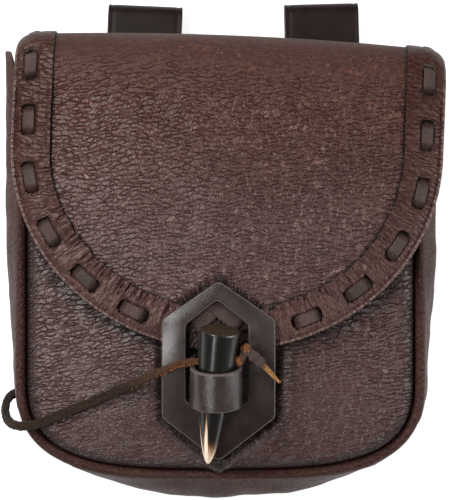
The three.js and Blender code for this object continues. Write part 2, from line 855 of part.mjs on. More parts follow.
function hornToggle() {
  const length = horn.top.distanceTo(horn.tip);
  const points = [new THREE.Vector2(0, length)];
  for (const { share, radius } of horn.profile) points.push(new THREE.Vector2(radius, length * (1 - share)));
  points.push(new THREE.Vector2(0, 0));
  const solid = new THREE.LatheGeometry(points.reverse(), horn.sides);
  const way = horn.top.clone().sub(horn.tip).normalize();
  solid.applyQuaternion(new THREE.Quaternion().setFromUnitVectors(new THREE.Vector3(0, 1, 0), way));
  solid.translate(...horn.tip);
  const closed = bare(solid);
  const hole = horn.top.clone().lerp(horn.tip, horn.holeAt);
  const reach = new THREE.Vector3(10, 0, 0);
  const drill = rodBetween(hole.clone().sub(reach), hole.clone().add(reach), horn.holeRadius, 2, 12);
  return cutBy(welded(closed.attributes.position.array, Array.from(closed.index.array)), [drill]);
}

function curveOf(route) {
  return new THREE.CatmullRomCurve3(route.map(({ x, y, z }) => new THREE.Vector3(x, y, z)));
}

function toggleThong() {
  const section = new THREE.Shape();
  section.absarc(0, 0, thong.radius, 0, 2 * Math.PI, false);
  const cord = new THREE.ExtrudeGeometry(section, {
    steps: thong.steps,
    extrudePath: curveOf(thong.route),
    curveSegments: thong.sides / 2,
  });
  return bare(cord);
}

function thongKnot() {
  const radii = knot.route.map(({ radius }) => radius);
  const radiusAt = (share) => {
    const place = share * (radii.length - 1);
    const before = Math.min(Math.floor(place), radii.length - 2);
    return lerp(radii[before], radii[before + 1], place - before);
  };
  return tube(curveOf(knot.route), knot.steps, knot.sides, radiusAt);
}

// A belt loop's side view: the back leaf on the ground, the fold at the top, the front leaf
function beltLoop({ middle, top, tilt }) {
  const outer = STRAP + loop.beltRoom / 2;
  const inner = loop.beltRoom / 2;
  const fold = top - outer;
  const section = new THREE.Shape();
  section.moveTo(loop.backEnd, 0);
  section.lineTo(fold, 0);
  section.absarc(fold, outer, outer, -Math.PI / 2, Math.PI / 2, false);
  section.lineTo(loop.frontEnd, 2 * outer);
  section.lineTo(loop.frontEnd, outer + inner);
  section.lineTo(fold, outer + inner);
  section.absarc(fold, outer, inner, Math.PI / 2, -Math.PI / 2, true);
  section.lineTo(loop.skiveFrom, STRAP);
  section.lineTo(loop.backEnd, loop.skived);
  section.closePath();
  const cut = { depth: loop.width, bevelEnabled: false, curveSegments: 10 };
  const strap = new THREE.ExtrudeGeometry(section, cut);
  const axes = [new THREE.Vector3(0, 1, 0), new THREE.Vector3(0, 0, 1), new THREE.Vector3(1, 0, 0)];
  strap.applyMatrix4(new THREE.Matrix4().makeBasis(...axes));
  strap.translate(-loop.width / 2, -top, 0);
  strap.rotateZ(THREE.MathUtils.degToRad(tilt));
  return bare(strap.translate(middle, top, 0));
}

// Finishes
const pebbled = { color: 0x4d3530, roughness: 0.55 };
const smooth = { color: 0x33251f, roughness: 0.45 };
const laced = { color: 0x3f2a22, roughness: 0.5 };
const suede = { color: 0x4a3426, roughness: 0.85 };
const polished = { color: 0x17110e, roughness: 0.18 };

function piece(name, geometry, finish) {
  geometry.computeVertexNormals();
  const mesh = new THREE.Mesh(geometry, new THREE.MeshStandardMaterial({ ...finish, metalness: 0 }));
  mesh.name = name;
  return mesh;
}

const pouch = new THREE.Group();
pouch.add(piece("front_panel", frontPanel(), pebbled));
pouch.add(piece("back_panel", backPanel(), pebbled));
pouch.add(piece("gusset", gusset(), pebbled));
pouch.add(piece("flap", flapSheet(), pebbled));
pouch.add(piece("flap_border", flapBorder(), pebbled));
pouch.add(piece("lace_left", edgeLace(1), laced));
pouch.add(piece("lace_right", edgeLace(-1), laced));
for (const ends of windowLaces) pouch.add(piece(ends.name, windowLace(ends), laced));
pouch.add(piece("clasp_plate", claspPlate(), smooth));
pouch.add(piece("keeper_loop", keeperLoop(), smooth));
pouch.add(piece("horn_toggle", hornToggle(), polished));
pouch.add(piece("toggle_thong", toggleThong(), suede));
pouch.add(piece("thong_knot", thongKnot(), suede));
for (const one of loops) pouch.add(piece(one.name, beltLoop(one), smooth));

export default pouch;
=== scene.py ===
"""Looks of a leather belt pouch: its leather, laces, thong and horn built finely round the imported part.

Shapes are worked out in millimetres in the part's own frame, and become metres when a mesh is made.
X runs to the right seen from the front, Y up the pouch and Z out of its front.
"""

import math
from functools import lru_cache
from types import SimpleNamespace as Sizes

import bmesh
import bpy
import numpy as np
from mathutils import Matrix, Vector


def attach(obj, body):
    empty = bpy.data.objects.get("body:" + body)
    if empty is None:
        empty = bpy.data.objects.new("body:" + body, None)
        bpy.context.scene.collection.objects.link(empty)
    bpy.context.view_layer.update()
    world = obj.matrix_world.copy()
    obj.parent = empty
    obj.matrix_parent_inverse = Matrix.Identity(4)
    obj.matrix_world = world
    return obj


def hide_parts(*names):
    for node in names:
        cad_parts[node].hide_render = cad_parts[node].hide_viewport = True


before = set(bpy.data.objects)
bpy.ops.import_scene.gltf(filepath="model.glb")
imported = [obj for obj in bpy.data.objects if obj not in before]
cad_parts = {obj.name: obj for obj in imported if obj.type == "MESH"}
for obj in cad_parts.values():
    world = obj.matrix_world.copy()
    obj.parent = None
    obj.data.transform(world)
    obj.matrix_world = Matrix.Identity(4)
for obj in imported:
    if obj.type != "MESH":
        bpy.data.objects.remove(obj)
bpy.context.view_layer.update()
MM = 0.001

# Millimetres of flat leather to a unit of the flat layer
FLAT_UNIT = 100

# Leather thicknesses and the clearance between pieces
CLEAR = 0.3
PANEL = 1.8
GUSSET = 1.5
STRAP = 2.2
PLATE = 2.8

# Body, front panel and gusset
body = Sizes(middle=-1.9, half_width=79.2, top=72, corner_top=-49.8, corner_height=40, squareness=3.2)
front = Sizes(seam=32.5, roll=4.5, crown=11, belly=-38, mouth_share=0.55)
bulge = Sizes(
    middle=-1.5, half_width=89, low_half_width=85.5, corner_top=-54.6, corner_height=47.6, squareness=2.1
)
gusset_end = Sizes(left_seam=72, left_belly=82, right_seam=62, right_belly=64, rise_from=0.6, rise_to=0.95)
seam_roll = [(0.3, -2.6), (0.6, 0.4), (2.7, 2.2)]

# Belt loops and back panel
loop = Sizes(
    width=31,
    belt_room=5.2,
    front_end=42,
    back_end=-7.8,
    skive_from=22,
    skived=1.9,
    crease=0.3,
    crease_inset=1.9,
    crease_width=0.45,
)
loops = [
    Sizes(name="belt_loop_left", middle=-33.2, top=102.4, tilt=-2.5),
    Sizes(name="belt_loop_right", middle=40.2, top=103.2, tilt=1.5),
]
back = Sizes(outset=1.6, top=66, flat_top=-30, lifted_from=50, lift=12.0)

# Flap, its border strip and its laces
flap = Sizes(
    half_width=88,
    oval_middle=40.5,
    oval_height=81,
    above=2.4,
    crown_half_width=92,
    side_drop=3,
    side_from=66,
    top_inner=85.3,
    front_radius=12.6,
    back_radius=9,
    tail_end=58,
    sag=1.8,
    sag_width=70,
    sag_lead=26,
    corner_droop=7,
    corner_width=10,
    fold_swell=0.9,
    lean=math.radians(2.3),
    lean_about=20,
)
border = Sizes(width=16, leather=1.8, fold_leather=0.9)
lace = Sizes(
    width=4.7,
    leather=1.3,
    inset=6.9,
    pitch=23.8,
    stitch=9.8,
    dive=5,
    first_stitch=33.2,
    sunk=0.75,
    crown=0.12,
    fibre=0.08,
    before=4,
    after=5,
    window_share=1.2,
)
slit = Sizes(along=1.8, across=2.7)

# Clasp plate, its window and the lace ends that show in it
plate = Sizes(
    middle=-2.6,
    centre=-50,
    half_width=22.8,
    top=-12.4,
    shoulder=-28,
    hip=-67.4,
    bottom=-85.4,
    above=4.9,
    bend_from=-45,
    bend_length=40,
    bend_drop=9.5,
    side_drop=0.8,
)
pane = Sizes(middle=-3.2, half_width=12.6, top=-19.9, shoulder=-30, hip=-61, bottom=-67)
window_laces = [
    Sizes(name="window_lace_left", start=(-13.1, -31.5), end=(-5.4, -25.4)),
    Sizes(name="window_lace_right", start=(6.7, -31.5), end=(-6.2, -21.1)),
]

# Horn toggle, keeper loop and thong
horn = Sizes(top=(-2.2, -31.7, 70.1), tip=(-6.9, -85.8, 56.1), radius=8.1, taper=1.3, bluntness=0.53)
keeper = Sizes(middle=(-3.5, -54.4, 63.6), radius=8.2, width=16, leg=25, lean=math.radians(15))
thong = Sizes(width=4.3, depth=3.3)
thong_route = [
    (4.6, -44.3, 66.8),
    (-3.4, -44.3, 66.8),
    (-12.5, -44.1, 66.8),
    (-18, -45, 65),
    (-23, -47.2, 61.8),
    (-28.5, -49.8, 57.6),
    (-35.7, -53.5, 51.4),
    (-44.3, -57.3, 46.6),
    (-53.4, -61.4, 44.4),
    (-61.9, -64.7, 42.8),
    (-71, -68.6, 41.2),
    (-78, -71.2, 39.6),
    (-84.4, -71.9, 35.4),
    (-88.6, -70.6, 29.6),
    (-90.6, -67.4, 24),
    (-90.8, -63.8, 19),
    (-89.4, -60.9, 14),
    (-86.6, -59.3, 11),
    (-83.5, -58.4, 9.6),
    (-80.5, -57.8, 9),
]
knot_route = [
    (4.8, -44.3, 66.8),
    (6.6, -43.6, 66.9),
    (7.6, -41.2, 67.2),
    (9.4, -40.6, 67.2),
    (12, -43, 66.4),
    (14.8, -45.5, 65.3),
]
knot_radii = [1.4, 1.5, 1.8, 2.3, 2.5, 2]
tail_route = [
    (13.6, -44.4, 65.8),
    (15.6, -46.3, 64.7),
    (17.8, -48.6, 63.2),
    (19.8, -50.8, 61.9),
    (21.4, -52.6, 61),
]
tail_half_width = 1.0

# Grain of the hides: the turn of its cracks in radians, and how far below each crack its lip lies, raised and
# painted pale as a highlight
CRACK_TURN = 0.2
LIP_BELOW = 0.35

# Relief of the panels: layers of soft lumps, squashed along the hide
front_lumps = [
    Sizes(height=0.5, squash=1, width=27, seed=1),
    Sizes(height=0.3, squash=1.6, width=11, seed=2),
]
gusset_lumps = [
    Sizes(height=0.5, squash=2.2, width=17, seed=3),
    Sizes(height=0.35, squash=1.6, width=6, seed=4),
]
flap_lumps = [
    Sizes(height=0.3, squash=1, width=24, seed=5),
    Sizes(height=0.16, squash=2, width=9, seed=6),
]

# Wrinkles beside the front's seam, puckers round the clasp plate, and the border's gathers
wrinkles = Sizes(width=2.5, swell=0.6, cut=0.9, cut_share=0.18, left=1.0, right=1.6)
puckers = Sizes(turn=30, out=2.2, width=2.6, crease=0.55, front_rise=2.4, flap_rise=0.7)
gathers = Sizes(
    pleat=2.3,
    pleat_height=0.5,
    pleat_cut=1.4,
    cut_share=0.18,
    pleat_sway=0.6,
    crinkle=1.0,
    crinkle_height=0.35,
    rib=0.9,
    rib_height=0.3,
    bead=0.7,
    bead_half_width=0.75,
    groove=0.25,
    groove_at=1.7,
    groove_width=0.3,
    swell=0.45,
)

# Relief of the clasp plate, and the seam's thread
plate_relief = Sizes(
    corner=3.2,
    pane_corner=2.6,
    shoulder=-34,
    shoulder_width=9,
    lower=-48,
    upper=-30,
    edge_swell=0.08,
    shoulder_swell=0.3,
    upper_crown=0.2,
    lower_wings=0.5,
    lumps=0.12,
    left_bend=0.9,
)
thread = Sizes(top=40, spacing=3.4, half_length=1.15, sag=0.35, out=2.5, above=2.25)
thread_girths = [(-1.15, 0.1), (-0.8, 0.3), (0, 0.36), (0.8, 0.3), (1.15, 0.1)]

# The angle from which an edge is sharp, and how far the cut edges are rounded
SHARP = math.radians(50)
rounding = Sizes(panel=0.4, border=0.3, lace=0.35, plate=0.7, keeper=0.6, loop=0.5)

# Fineness of the meshes along their longest way
PANEL_STATION = 1.1
BACK_STATION = 2.2
BORDER_STATION = 0.6
LACE_STATION = 0.5
THONG_STATION = 0.8
KNOT_STATION = 0.4

# Camera: straight above, where the picture's height takes in the view's height at the view's distance
SENSOR = 36
VIEW_HEIGHT = 202.5
VIEW_DISTANCE = 1150
CAMERA_HEIGHT = 1.196

# Studio lights in metres and watts, and how bright the world and the pale floor are
lights = [
    Sizes(name="key_light", spot=(-0.55, 0.52, 0.78), size=(0.4, 0.4), power=11),
    Sizes(name="sheen_light", spot=(-0.44, 0.06, 0.9), size=(0.14, 0.35), power=6),
    Sizes(name="front_light", spot=(-0.42, -0.5, 0.76), size=(0.14, 0.2), power=1.3),
    Sizes(name="fill_light", spot=(0.95, -0.1, 0.5), size=(0.4, 0.8), power=8.5),
    Sizes(name="glint_light", spot=(0.5, 0.2, 0.85), size=(0.14, 0.25), power=1.5),
]
LIGHTS_AIM = (0, 0, 0.03)
WORLD_STRENGTH = 0.16
floor = Sizes(reach=3.0, height=-0.0004, grey=0.3, glow=0.85)


def ease(share):
    share = np.clip(share, 0, 1)
    return share * share * (3 - 2 * share)


def step(x, low, high):
    return ease((x - low) / (high - low))


def mix(a, b, share):
    return a + (b - a) * share


def band(x, start, full, fall, end):
    """1 between full and fall, easing to 0 at the start and the end."""
    return step(x, start, full) * (1 - step(x, fall, end))


def hump(x, width):
    """A soft hump about 0."""
    return np.exp(-((x / width) ** 2))


def turned(x, y, angle):
    """A point turned about 0."""
    cos, sin = math.cos(angle), math.sin(angle)
    return x * cos - y * sin, x * sin + y * cos


def unit(vectors):
    return vectors / np.linalg.norm(vectors, axis=-1, keepdims=True)


@lru_cache
def lattice(seed):
    return np.random.default_rng(seed).uniform(-1, 1, (256, 256))


def noise(x, y, size, seed):
    """Smooth noise between -1 and 1 whose lumps are about as wide as size."""
    table = lattice(seed)
    x, y = np.broadcast_arrays(x / size, y / size)
    i, j = np.floor(x).astype(int), np.floor(y).astype(int)
    s, t = ease(x - i), ease(y - j)
    low = mix(table[i % 256, j % 256], table[(i + 1) % 256, j % 256], s)
    high = mix(table[i % 256, (j + 1) % 256], table[(i + 1) % 256, (j + 1) % 256], s)
    return mix(low, high, t)


def lumps(x, y, layers):
    """Soft lumps of a panel's leather, from a table of layers."""
    return sum(one.height * noise(x, one.squash * y, one.width, one.seed) for one in layers)


def even(line, spacing):
    """A polyline resampled at an even spacing."""
    line = np.asarray(line, float)
    lengths = lengths_along(line)
    places = np.linspace(0, lengths[-1], math.ceil(lengths[-1] / spacing) + 1)
    return np.stack([np.interp(places, lengths, column) for column in line.T], -1)


def spline(points, steps):
    """A smooth curve through points, with steps to each span; the points' second-last axis is the curve."""
    points = np.asarray(points, float)
    before = 2 * points[..., :1, :] - points[..., 1:2, :]
    after = 2 * points[..., -1:, :] - points[..., -2:-1, :]
    padded = np.concatenate([before, points, after], -2)
    spans = points.shape[-2] - 1
    places = np.linspace(0, spans, spans * steps + 1)
    span = np.minimum(places.astype(int), spans - 1)
    t = (places - span)[:, None]
    a, b, c, d = (padded[..., span + k, :] for k in range(4))
    return 0.5 * (2 * b + (c - a) * t + (2 * a - 5 * b + 4 * c - d) * t**2 + (3 * b - a - 3 * c + d) * t**3)


def mesh_piece(name, points, faces, flat, cut_from=None, edges=None):
    """A piece from points in millimetres; faces from cut_from on are cut edges and take the second finish.

    Its flat layer holds places on the flat leather, and its second layer how far each lies from the clasp
    plate and from the edge that covers it.
    """
    mesh = bpy.data.meshes.new(name)
    mesh.from_pydata((np.asarray(points) * MM).tolist(), [], faces)
    corners = np.empty(len(mesh.loops), int)
    mesh.loops.foreach_get("vertex_index", corners)
    for layer, places in (("flat", flat), ("edges", edges)):
        if places is not None:
            spread = np.asarray(places)[corners] / FLAT_UNIT
            mesh.uv_layers.new(name=layer).data.foreach_set("uv", spread.ravel())
    if cut_from is not None:
        finish = np.arange(len(faces)) >= cut_from
        mesh.polygons.foreach_set("material_index", finish.astype(np.int32))
    work = bmesh.new()
    work.from_mesh(mesh)
    bmesh.ops.remove_doubles(work, verts=work.verts, dist=2e-6)
    bmesh.ops.delete(work, geom=[vertex for vertex in work.verts if not vertex.link_faces], context="VERTS")
    work.to_mesh(mesh)
    work.free()
    mesh.shade_smooth()
    mesh.set_sharp_from_angle(angle=SHARP)
    piece = bpy.data.objects.new(name, mesh)
    bpy.context.scene.collection.objects.link(piece)
    return piece


def sheet(name, outer, inner, flat, keep=None, ring=False, axis=False, edges=None):
    """A sheet between two grids of points (columns, rows, xyz). Cells not kept are holes.

    With ring the last column meets the first, and with axis the last row meets itself.
    """
    columns, rows = outer.shape[:2]
    if keep is None:
        keep = np.ones((columns - 1, rows - 1), bool)
    at = np.arange(columns * rows).reshape(columns, rows)
    under = columns * rows
    a, b, c, d = at[:-1, :-1], at[1:, :-1], at[1:, 1:], at[:-1, 1:]
    faces = [np.stack([a, b, c, d], -1)[keep], np.stack([a, d, c, b], -1)[keep] + under]

    def wall(start, end, where):
        start, end = start[where], end[where]
        faces.append(np.stack([start, end, end + under, start + under], -1))

    rows_out = np.pad(keep, ((0, 0), (1, 1)))
    low_side = rows_out[:, 1:] & ~rows_out[:, :-1]
    high_side = rows_out[:, :-1] & ~rows_out[:, 1:]
    high_side[:, -1] &= not axis
    wall(at[1:], at[:-1], low_side)
    wall(at[:-1], at[1:], high_side)
    columns_out = np.pad(keep, ((1, 1), (0, 0)))
    first_side = columns_out[1:] & ~columns_out[:-1]
    last_side = columns_out[:-1] & ~columns_out[1:]
    first_side[0] &= not ring
    last_side[-1] &= not ring
    wall(at[:, :-1], at[:, 1:], first_side)
    wall(at[:, 1:], at[:, :-1], last_side)
    points = np.concatenate([outer.reshape(-1, 3), inner.reshape(-1, 3)])
    places = np.concatenate([flat.reshape(-1, 2)] * 2)
    cut_from = len(faces[0]) + len(faces[1])
    if edges is not None:
        edges = np.concatenate([edges.reshape(-1, 2)] * 2)
    return mesh_piece(name, points, np.concatenate(faces).tolist(), places, cut_from, edges)


def tube_faces(count, sides, first=0):
    """The faces of a closed tube of rings whose points are numbered from first on."""
    at = first + np.arange(count * sides).reshape(count, sides)
    ahead = np.roll(at, -1, axis=1)
    faces = np.stack([at[:-1], ahead[:-1], ahead[1:], at[1:]], -1).reshape(-1, 4).tolist()
    return faces + [at[0, ::-1].tolist(), at[-1].tolist()]


def tube(name, rings, flat):
    """A closed tube through rings of points, with flat ends."""
    return mesh_piece(name, rings.reshape(-1, 3), tube_faces(*rings.shape[:2]), flat.reshape(-1, 2))


def grid_of(across, along):
    """The flat places of a grid, from its places across and along."""
    return np.stack(np.broadcast_arrays(across, along), -1)


def lengths_along(line):
    """How far along a polyline each of its points lies."""
    return np.concatenate([[0], np.cumsum(np.linalg.norm(np.diff(line, axis=0), axis=1))])


def soften(piece, width, segments=2, rim_finish=-1):
    """Rounds a piece's cut edges, which may take one of its finishes."""
    bevel = piece.modifiers.new("rounded_edges", "BEVEL")
    bevel.width = width * MM
    bevel.segments = segments
    bevel.material = rim_finish
    bevel.angle_limit = SHARP
    return piece


def place(piece, slot_name, finishes, *nodes):
    """Dresses a piece and lets it ride and stand for the part's nodes."""
    for finish in finishes:
        piece.data.materials.append(finish)
    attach(piece, "root")
    if nodes:
        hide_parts(*nodes)
    return piece


# Finishes
class Finish:
    """A material under way: its nodes, its shader, and short ways to add to them."""

    def __init__(self, name, **sockets):
        self.material = bpy.data.materials.new(name)
        self.material.use_nodes = True
        self.tree = self.material.node_tree
        self.shader = self.tree.nodes["Principled BSDF"]
        for socket, value in sockets.items():
            self.shader.inputs[socket.replace("_", " ")].default_value = value

    def add(self, kind, inputs, output=0, **settings):
        """Adds a node, sets or links its inputs by name or number, and returns one of its outputs."""
        made = self.tree.nodes.new("ShaderNode" + kind)
        for setting, value in settings.items():
            setattr(made, setting, value)
        for socket, value in inputs.items():
            if isinstance(value, bpy.types.NodeSocket):
                self.tree.links.new(value, made.inputs[socket])
            else:
                made.inputs[socket].default_value = value
        return made.outputs[output]

    def link(self, socket, value):
        self.tree.links.new(value, self.shader.inputs[socket])

    def bump(self, height, distance):
        self.link("Normal", self.add("Bump", {"Height": height, "Distance": distance * MM, "Strength": 1.0}))

    def coordinates(self, kind):
        return self.add("TexCoord", {}, output=kind)

    def axis(self, places, name):
        return self.add("SeparateXYZ", {0: places}, output=name)

    def edge_distance(self, name):
        """How far each place lies from the clasp plate (X) or from the edge that covers it (Y)."""
        return self.axis(self.add("UVMap", {}, uv_map="edges"), name)

    def mapped(self, places, **inputs):
        return self.add("Mapping", {"Vector": places, **inputs})

    def noise(self, places, scale, detail=2.0, roughness=0.5, output=0):
        inputs = {"Vector": places, "Scale": scale, "Detail": detail, "Roughness": roughness}
        return self.add("TexNoise", inputs, output)

    def cells(self, places, size, feature):
        """Distances in a pattern of cells of a size in millimetres."""
        inputs = {"Vector": places, "Scale": FLAT_UNIT / size}
        return self.add("TexVoronoi", inputs, output="Distance", feature=feature)

    def math(self, operation, a, b=0.0):
        return self.add("Math", {0: a, 1: b}, operation=operation)

    def plus(self, a, b):
        return self.math("ADD", a, b)

    def minus(self, a, b):
        return self.math("SUBTRACT", a, b)

    def times(self, a, b):
        return self.math("MULTIPLY", a, b)

    def vector(self, operation, a, b):
        return self.add("VectorMath", {0: a, 1: b}, operation=operation)

    def span(self, value, low, high, to_low=0.0, to_high=1.0, kind="LINEAR"):
        inputs = {0: value, 1: low, 2: high, 3: to_low, 4: to_high}
        return self.add("MapRange", inputs, interpolation_type=kind)

    def ramp(self, share, stops):
        """A colour ramp over a share, from (place, colour) stops."""
        made = self.tree.nodes.new("ShaderNodeValToRGB")
        self.tree.links.new(share, made.inputs["Fac"])
        elements = made.color_ramp.elements
        while len(elements) < len(stops):
            elements.new(0.5)
        for element, (place_along, colour) in zip(elements, stops):
            element.position = place_along
            element.color = (*colour, 1)
        return made.outputs["Color"]

    def blend(self, share, a, b, kind="MIX"):
        return self.add("Mix", {0: share, 6: a, 7: b}, output=2, data_type="RGBA", blend_type=kind)

    def tint(self, share, tone, kind="MIX"):
        """Brings the colour under way towards a tone."""
        self.colour = self.blend(share, self.colour, (*tone, 1), kind)

    def wandered(self, places, scale, reach):
        """Places moved about by a smooth noise."""
        wander = self.noise(places, scale, 1.0, output="Color")
        shift = self.vector("SUBTRACT", wander, (0.5, 0.5, 0.5))
        shift = self.add("VectorMath", {0: shift, "Scale": reach}, operation="SCALE")
        return self.vector("ADD", places, shift)

    def cracks(self, flowing, grain, width, shift):
        """Fine broken lines across the hide, moved along it by a shift; lines up the hide are thinned."""
        turned = self.mapped(flowing, Location=(0, shift / FLAT_UNIT, 0), Rotation=(0, 0, -CRACK_TURN))
        nets = []
        for aside in (-grain.aside, grain.aside):
            moved = aside / FLAT_UNIT / grain.stretch
            places = self.mapped(turned, Location=(moved, 0, 0), Scale=(1 / grain.stretch, 1, 1))
            between = self.cells(places, grain.crack, "DISTANCE_TO_EDGE")
            nets.append(self.span(between, 0.0, width, 1.0, 0.0, "SMOOTHSTEP"))
        broken = self.span(self.noise(places, 40.0), 0.35, 0.6, 0.25, 1.0)
        return self.times(self.math("MINIMUM", *nets), broken)


def grain_of(**changes):
    """The grain of a hide in millimetres, as the panels have it apart from the changes."""
    grain = dict(pebble=0.72, crack=1.6, crack_width=0.19, crack_depth=0.6, lip_width=0.11, lip=0.35)
    grain |= dict(aside=0.08, stretch=2.0, fine=0.3, jitter=0.003, depth=0.38)
    return Sizes(**(grain | changes))


def pebbled_leather(
    name,
    tones,
    grain,
    sheen=0.4,
    roughness=0.4,
    glint=(1, 1, 1, 1),
    fold=None,
    upper=None,
    plate_middle=None,
    cover_shadow=1.0,
    crack_reach=None,
    rolled=None,
):
    """Milled leather: small pebbles with tops painted lighter as highlights, cracks across the hide painted
    dark as shade, each with a raised lip painted pale as a highlight, and mottled dye.

    Past the fold's place along the hide the grain is stretched smooth and painted darker as shade, and
    towards the pouch's top the colour is made darker and redder by the upper tint. Round the plate's middle
    the leather is drawn into puckers, painted dark as shade near the plate and in their creases. Near the
    edge that covers it the leather is painted dark as shadow, and within the cracks' reach of that edge it is
    cracked more. A rolled edge of a width has painted highlights, rib by rib, and the leather under the plate
    is painted dark as shade.
    """
    made = Finish(name, Specular_IOR_Level=sheen, Specular_Tint=glint, Roughness=roughness)
    flat = made.coordinates("UV")
    flowing = made.wandered(made.wandered(flat, 5.0, 0.06), 60.0, grain.jitter)
    dome = made.cells(made.mapped(flowing, Scale=(0.72, 1, 1)), grain.pebble, "F1")
    lines = made.cracks(flowing, grain, grain.crack_width, 0.0)
    lips = made.cracks(flowing, grain, grain.lip_width, -LIP_BELOW)
    if crack_reach is not None:
        near_edge = made.span(made.edge_distance("Y"), 0.03, crack_reach / FLAT_UNIT, 1.6, 0.6)
        lines = made.times(lines, near_edge)
    low = made.plus(made.times(dome, grain.fine), made.times(lines, 0.9))
    made.height = made.minus(made.times(lips, 0.9), low)
    # Painted highlight: the pebbles' tops take the lighter pebble tone
    stops = [(0.0, tones.pebble), (0.6, tones.plain), (1.0, tones.plain)]
    made.colour = made.ramp(made.span(dome, 0.2, 0.85), stops)
    # Painted shade in the cracks, then a painted highlight on each lip below them
    made.tint(made.times(lines, grain.crack_depth), tones.crease)
    made.tint(made.times(lips, grain.lip), tones.lip)
    made.tint(made.span(made.noise(flat, 3.2, 3.0, 0.55), 0.35, 0.68), (0.84, 0.8, 0.8), "MULTIPLY")
    if fold is not None:
        stretch_and_shade_fold(made, flat, fold, tones, roughness)
    if upper is not None:
        # Darker and redder towards the pouch's top, by the upper tint
        rise = made.axis(made.coordinates("Object"), "Y")
        made.tint(made.span(rise, 0.005, 0.07), upper, "MULTIPLY")
    if plate_middle is not None:
        draw_puckers(made, flat, plate_middle, tones)
        # Painted shadow beside the edge that covers the leather
        shadow = made.span(made.edge_distance("Y"), 0.002, cover_shadow / FLAT_UNIT, 0.9, 0.0)
        made.tint(shadow, tones.crease)
    if rolled is not None:
        paint_roll_highlights_and_plate_shade(made, flat, rolled, tones)
    made.bump(made.height, grain.depth)
    made.link("Base Color", made.colour)
    return made.material


def stretch_and_shade_fold(made, flat, fold, tones, roughness):
    """Smooths and dulls the grain past a fold's place along the hide, and paints it darker as shade."""
    most = 0.4
    start = fold / FLAT_UNIT
    drawn = made.span(made.axis(flat, "Y"), start - 0.12, start + 0.06, 0.0, most)
    # Painted shade: the fold is tinted darker
    made.tint(drawn, [0.8 * tone for tone in tones.plain])
    made.height = made.times(made.height, made.minus(1.0, drawn))
    made.link("Roughness", made.span(drawn, 0.0, most, roughness, roughness + 0.25))


def draw_puckers(made, flat, plate_middle, tones):
    """Paints shade on the leather near the clasp plate, and cuts short creases that run away from it, painted
    dark as shade.
    """
    near = made.span(made.edge_distance("X"), 0.006, 0.045, 1.0, 0.0, "SMOOTHSTEP")
    away = made.vector("SUBTRACT", flat, (plate_middle[0] / FLAT_UNIT, plate_middle[1] / FLAT_UNIT, 0))
    way = made.add("VectorMath", {0: away}, operation="NORMALIZE")
    lines = made.span(made.noise(way, 26.0, 3.0, 0.7), 0.43, 0.53)
    puckered = made.times(lines, near)
    made.height = made.minus(made.height, made.times(puckered, 3.0))
    # Painted shade near the plate
    made.tint(near, (0.75, 0.7, 0.7), "MULTIPLY")
    # Painted shade in the puckers' creases
    made.tint(made.times(puckered, 0.9), tones.crease)


def paint_roll_highlights_and_plate_shade(made, flat, rolled, tones):
    """Paints highlights on a rolled edge's ribs, and paints shade on the leather under the clasp plate."""
    rib = made.noise(made.mapped(flat, Scale=(0.2, 1, 1)), 80.0, 1.0)
    edge = rolled / FLAT_UNIT
    # Painted highlights on the rolled edge's ribs
    rib_highlight = made.span(made.edge_distance("Y"), edge, edge + 0.003, 1.0, 0.0)
    made.tint(made.times(rib_highlight, made.span(rib, 0.42, 0.62, 0.0, 0.9)), tones.lip)
    # Painted shade under the clasp plate
    made.tint(made.span(made.edge_distance("X"), -0.05, -0.01, 0.95, 0.0), tones.crease)


def smooth_leather(name, dark, pale, depth=0.05, roughness=(0.34, 0.5), fleck=0.35, sheen=0.5):
    """Waxed strap leather: fine pores, faint fibres and a cloudy sheen."""
    made = Finish(name, Specular_IOR_Level=sheen)
    flat = made.coordinates("UV")
    cloud = made.noise(flat, 9.0, 5.0, 0.62)
    pores = made.noise(flat, FLAT_UNIT / fleck, 3.0, 0.7)
    height = made.plus(made.times(cloud, 0.5), pores)
    made.bump(height, depth)
    made.link("Base Color", made.ramp(made.span(cloud, 0.3, 0.7), [(0.0, dark), (1.0, pale)]))
    made.link("Roughness", made.span(height, 0.6, 1.0, *roughness))
    return made.material


def cut_edge(name, dark, pale):
    """Raw or burnished cut edge of leather, with its layers."""
    made = Finish(name, Specular_IOR_Level=0.4)
    fibre = made.noise(made.coordinates("Object"), 1400.0, 3.0, 0.7)
    made.bump(fibre, 0.12)
    made.link("Base Color", made.ramp(made.span(fibre, 0.3, 0.7), [(0.0, dark), (1.0, pale)]))
    made.link("Roughness", made.span(fibre, 0.3, 0.7, 0.75, 0.5))
    return made.material


def suede(name, near, far, near_end, far_end):
    """Rough suede, from one colour near the toggle to another along the thong."""
    made = Finish(name, Specular_IOR_Level=0.1, Sheen_Weight=0.04, Roughness=0.85)
    spot = made.coordinates("Object")
    nap = made.noise(spot, 1000.0, 4.0, 0.75)
    patch = made.noise(spot, 190.0, 3.0)
    along = made.axis(made.coordinates("UV"), "Y")
    wander = made.plus(along, made.span(patch, 0.3, 0.7, -0.06, 0.06))
    share = made.span(wander, near_end / FLAT_UNIT, far_end / FLAT_UNIT)
    colour = made.ramp(share, [(0.0, near), (1.0, far)])
    shade = made.ramp(made.span(nap, 0.32, 0.68), [(0.0, (0.3, 0.28, 0.26)), (1.0, (1.5, 1.45, 1.4))])
    made.link("Base Color", made.blend(1.0, colour, shade, "MULTIPLY"))
    made.bump(made.plus(nap, patch), 0.6)
    return made.material


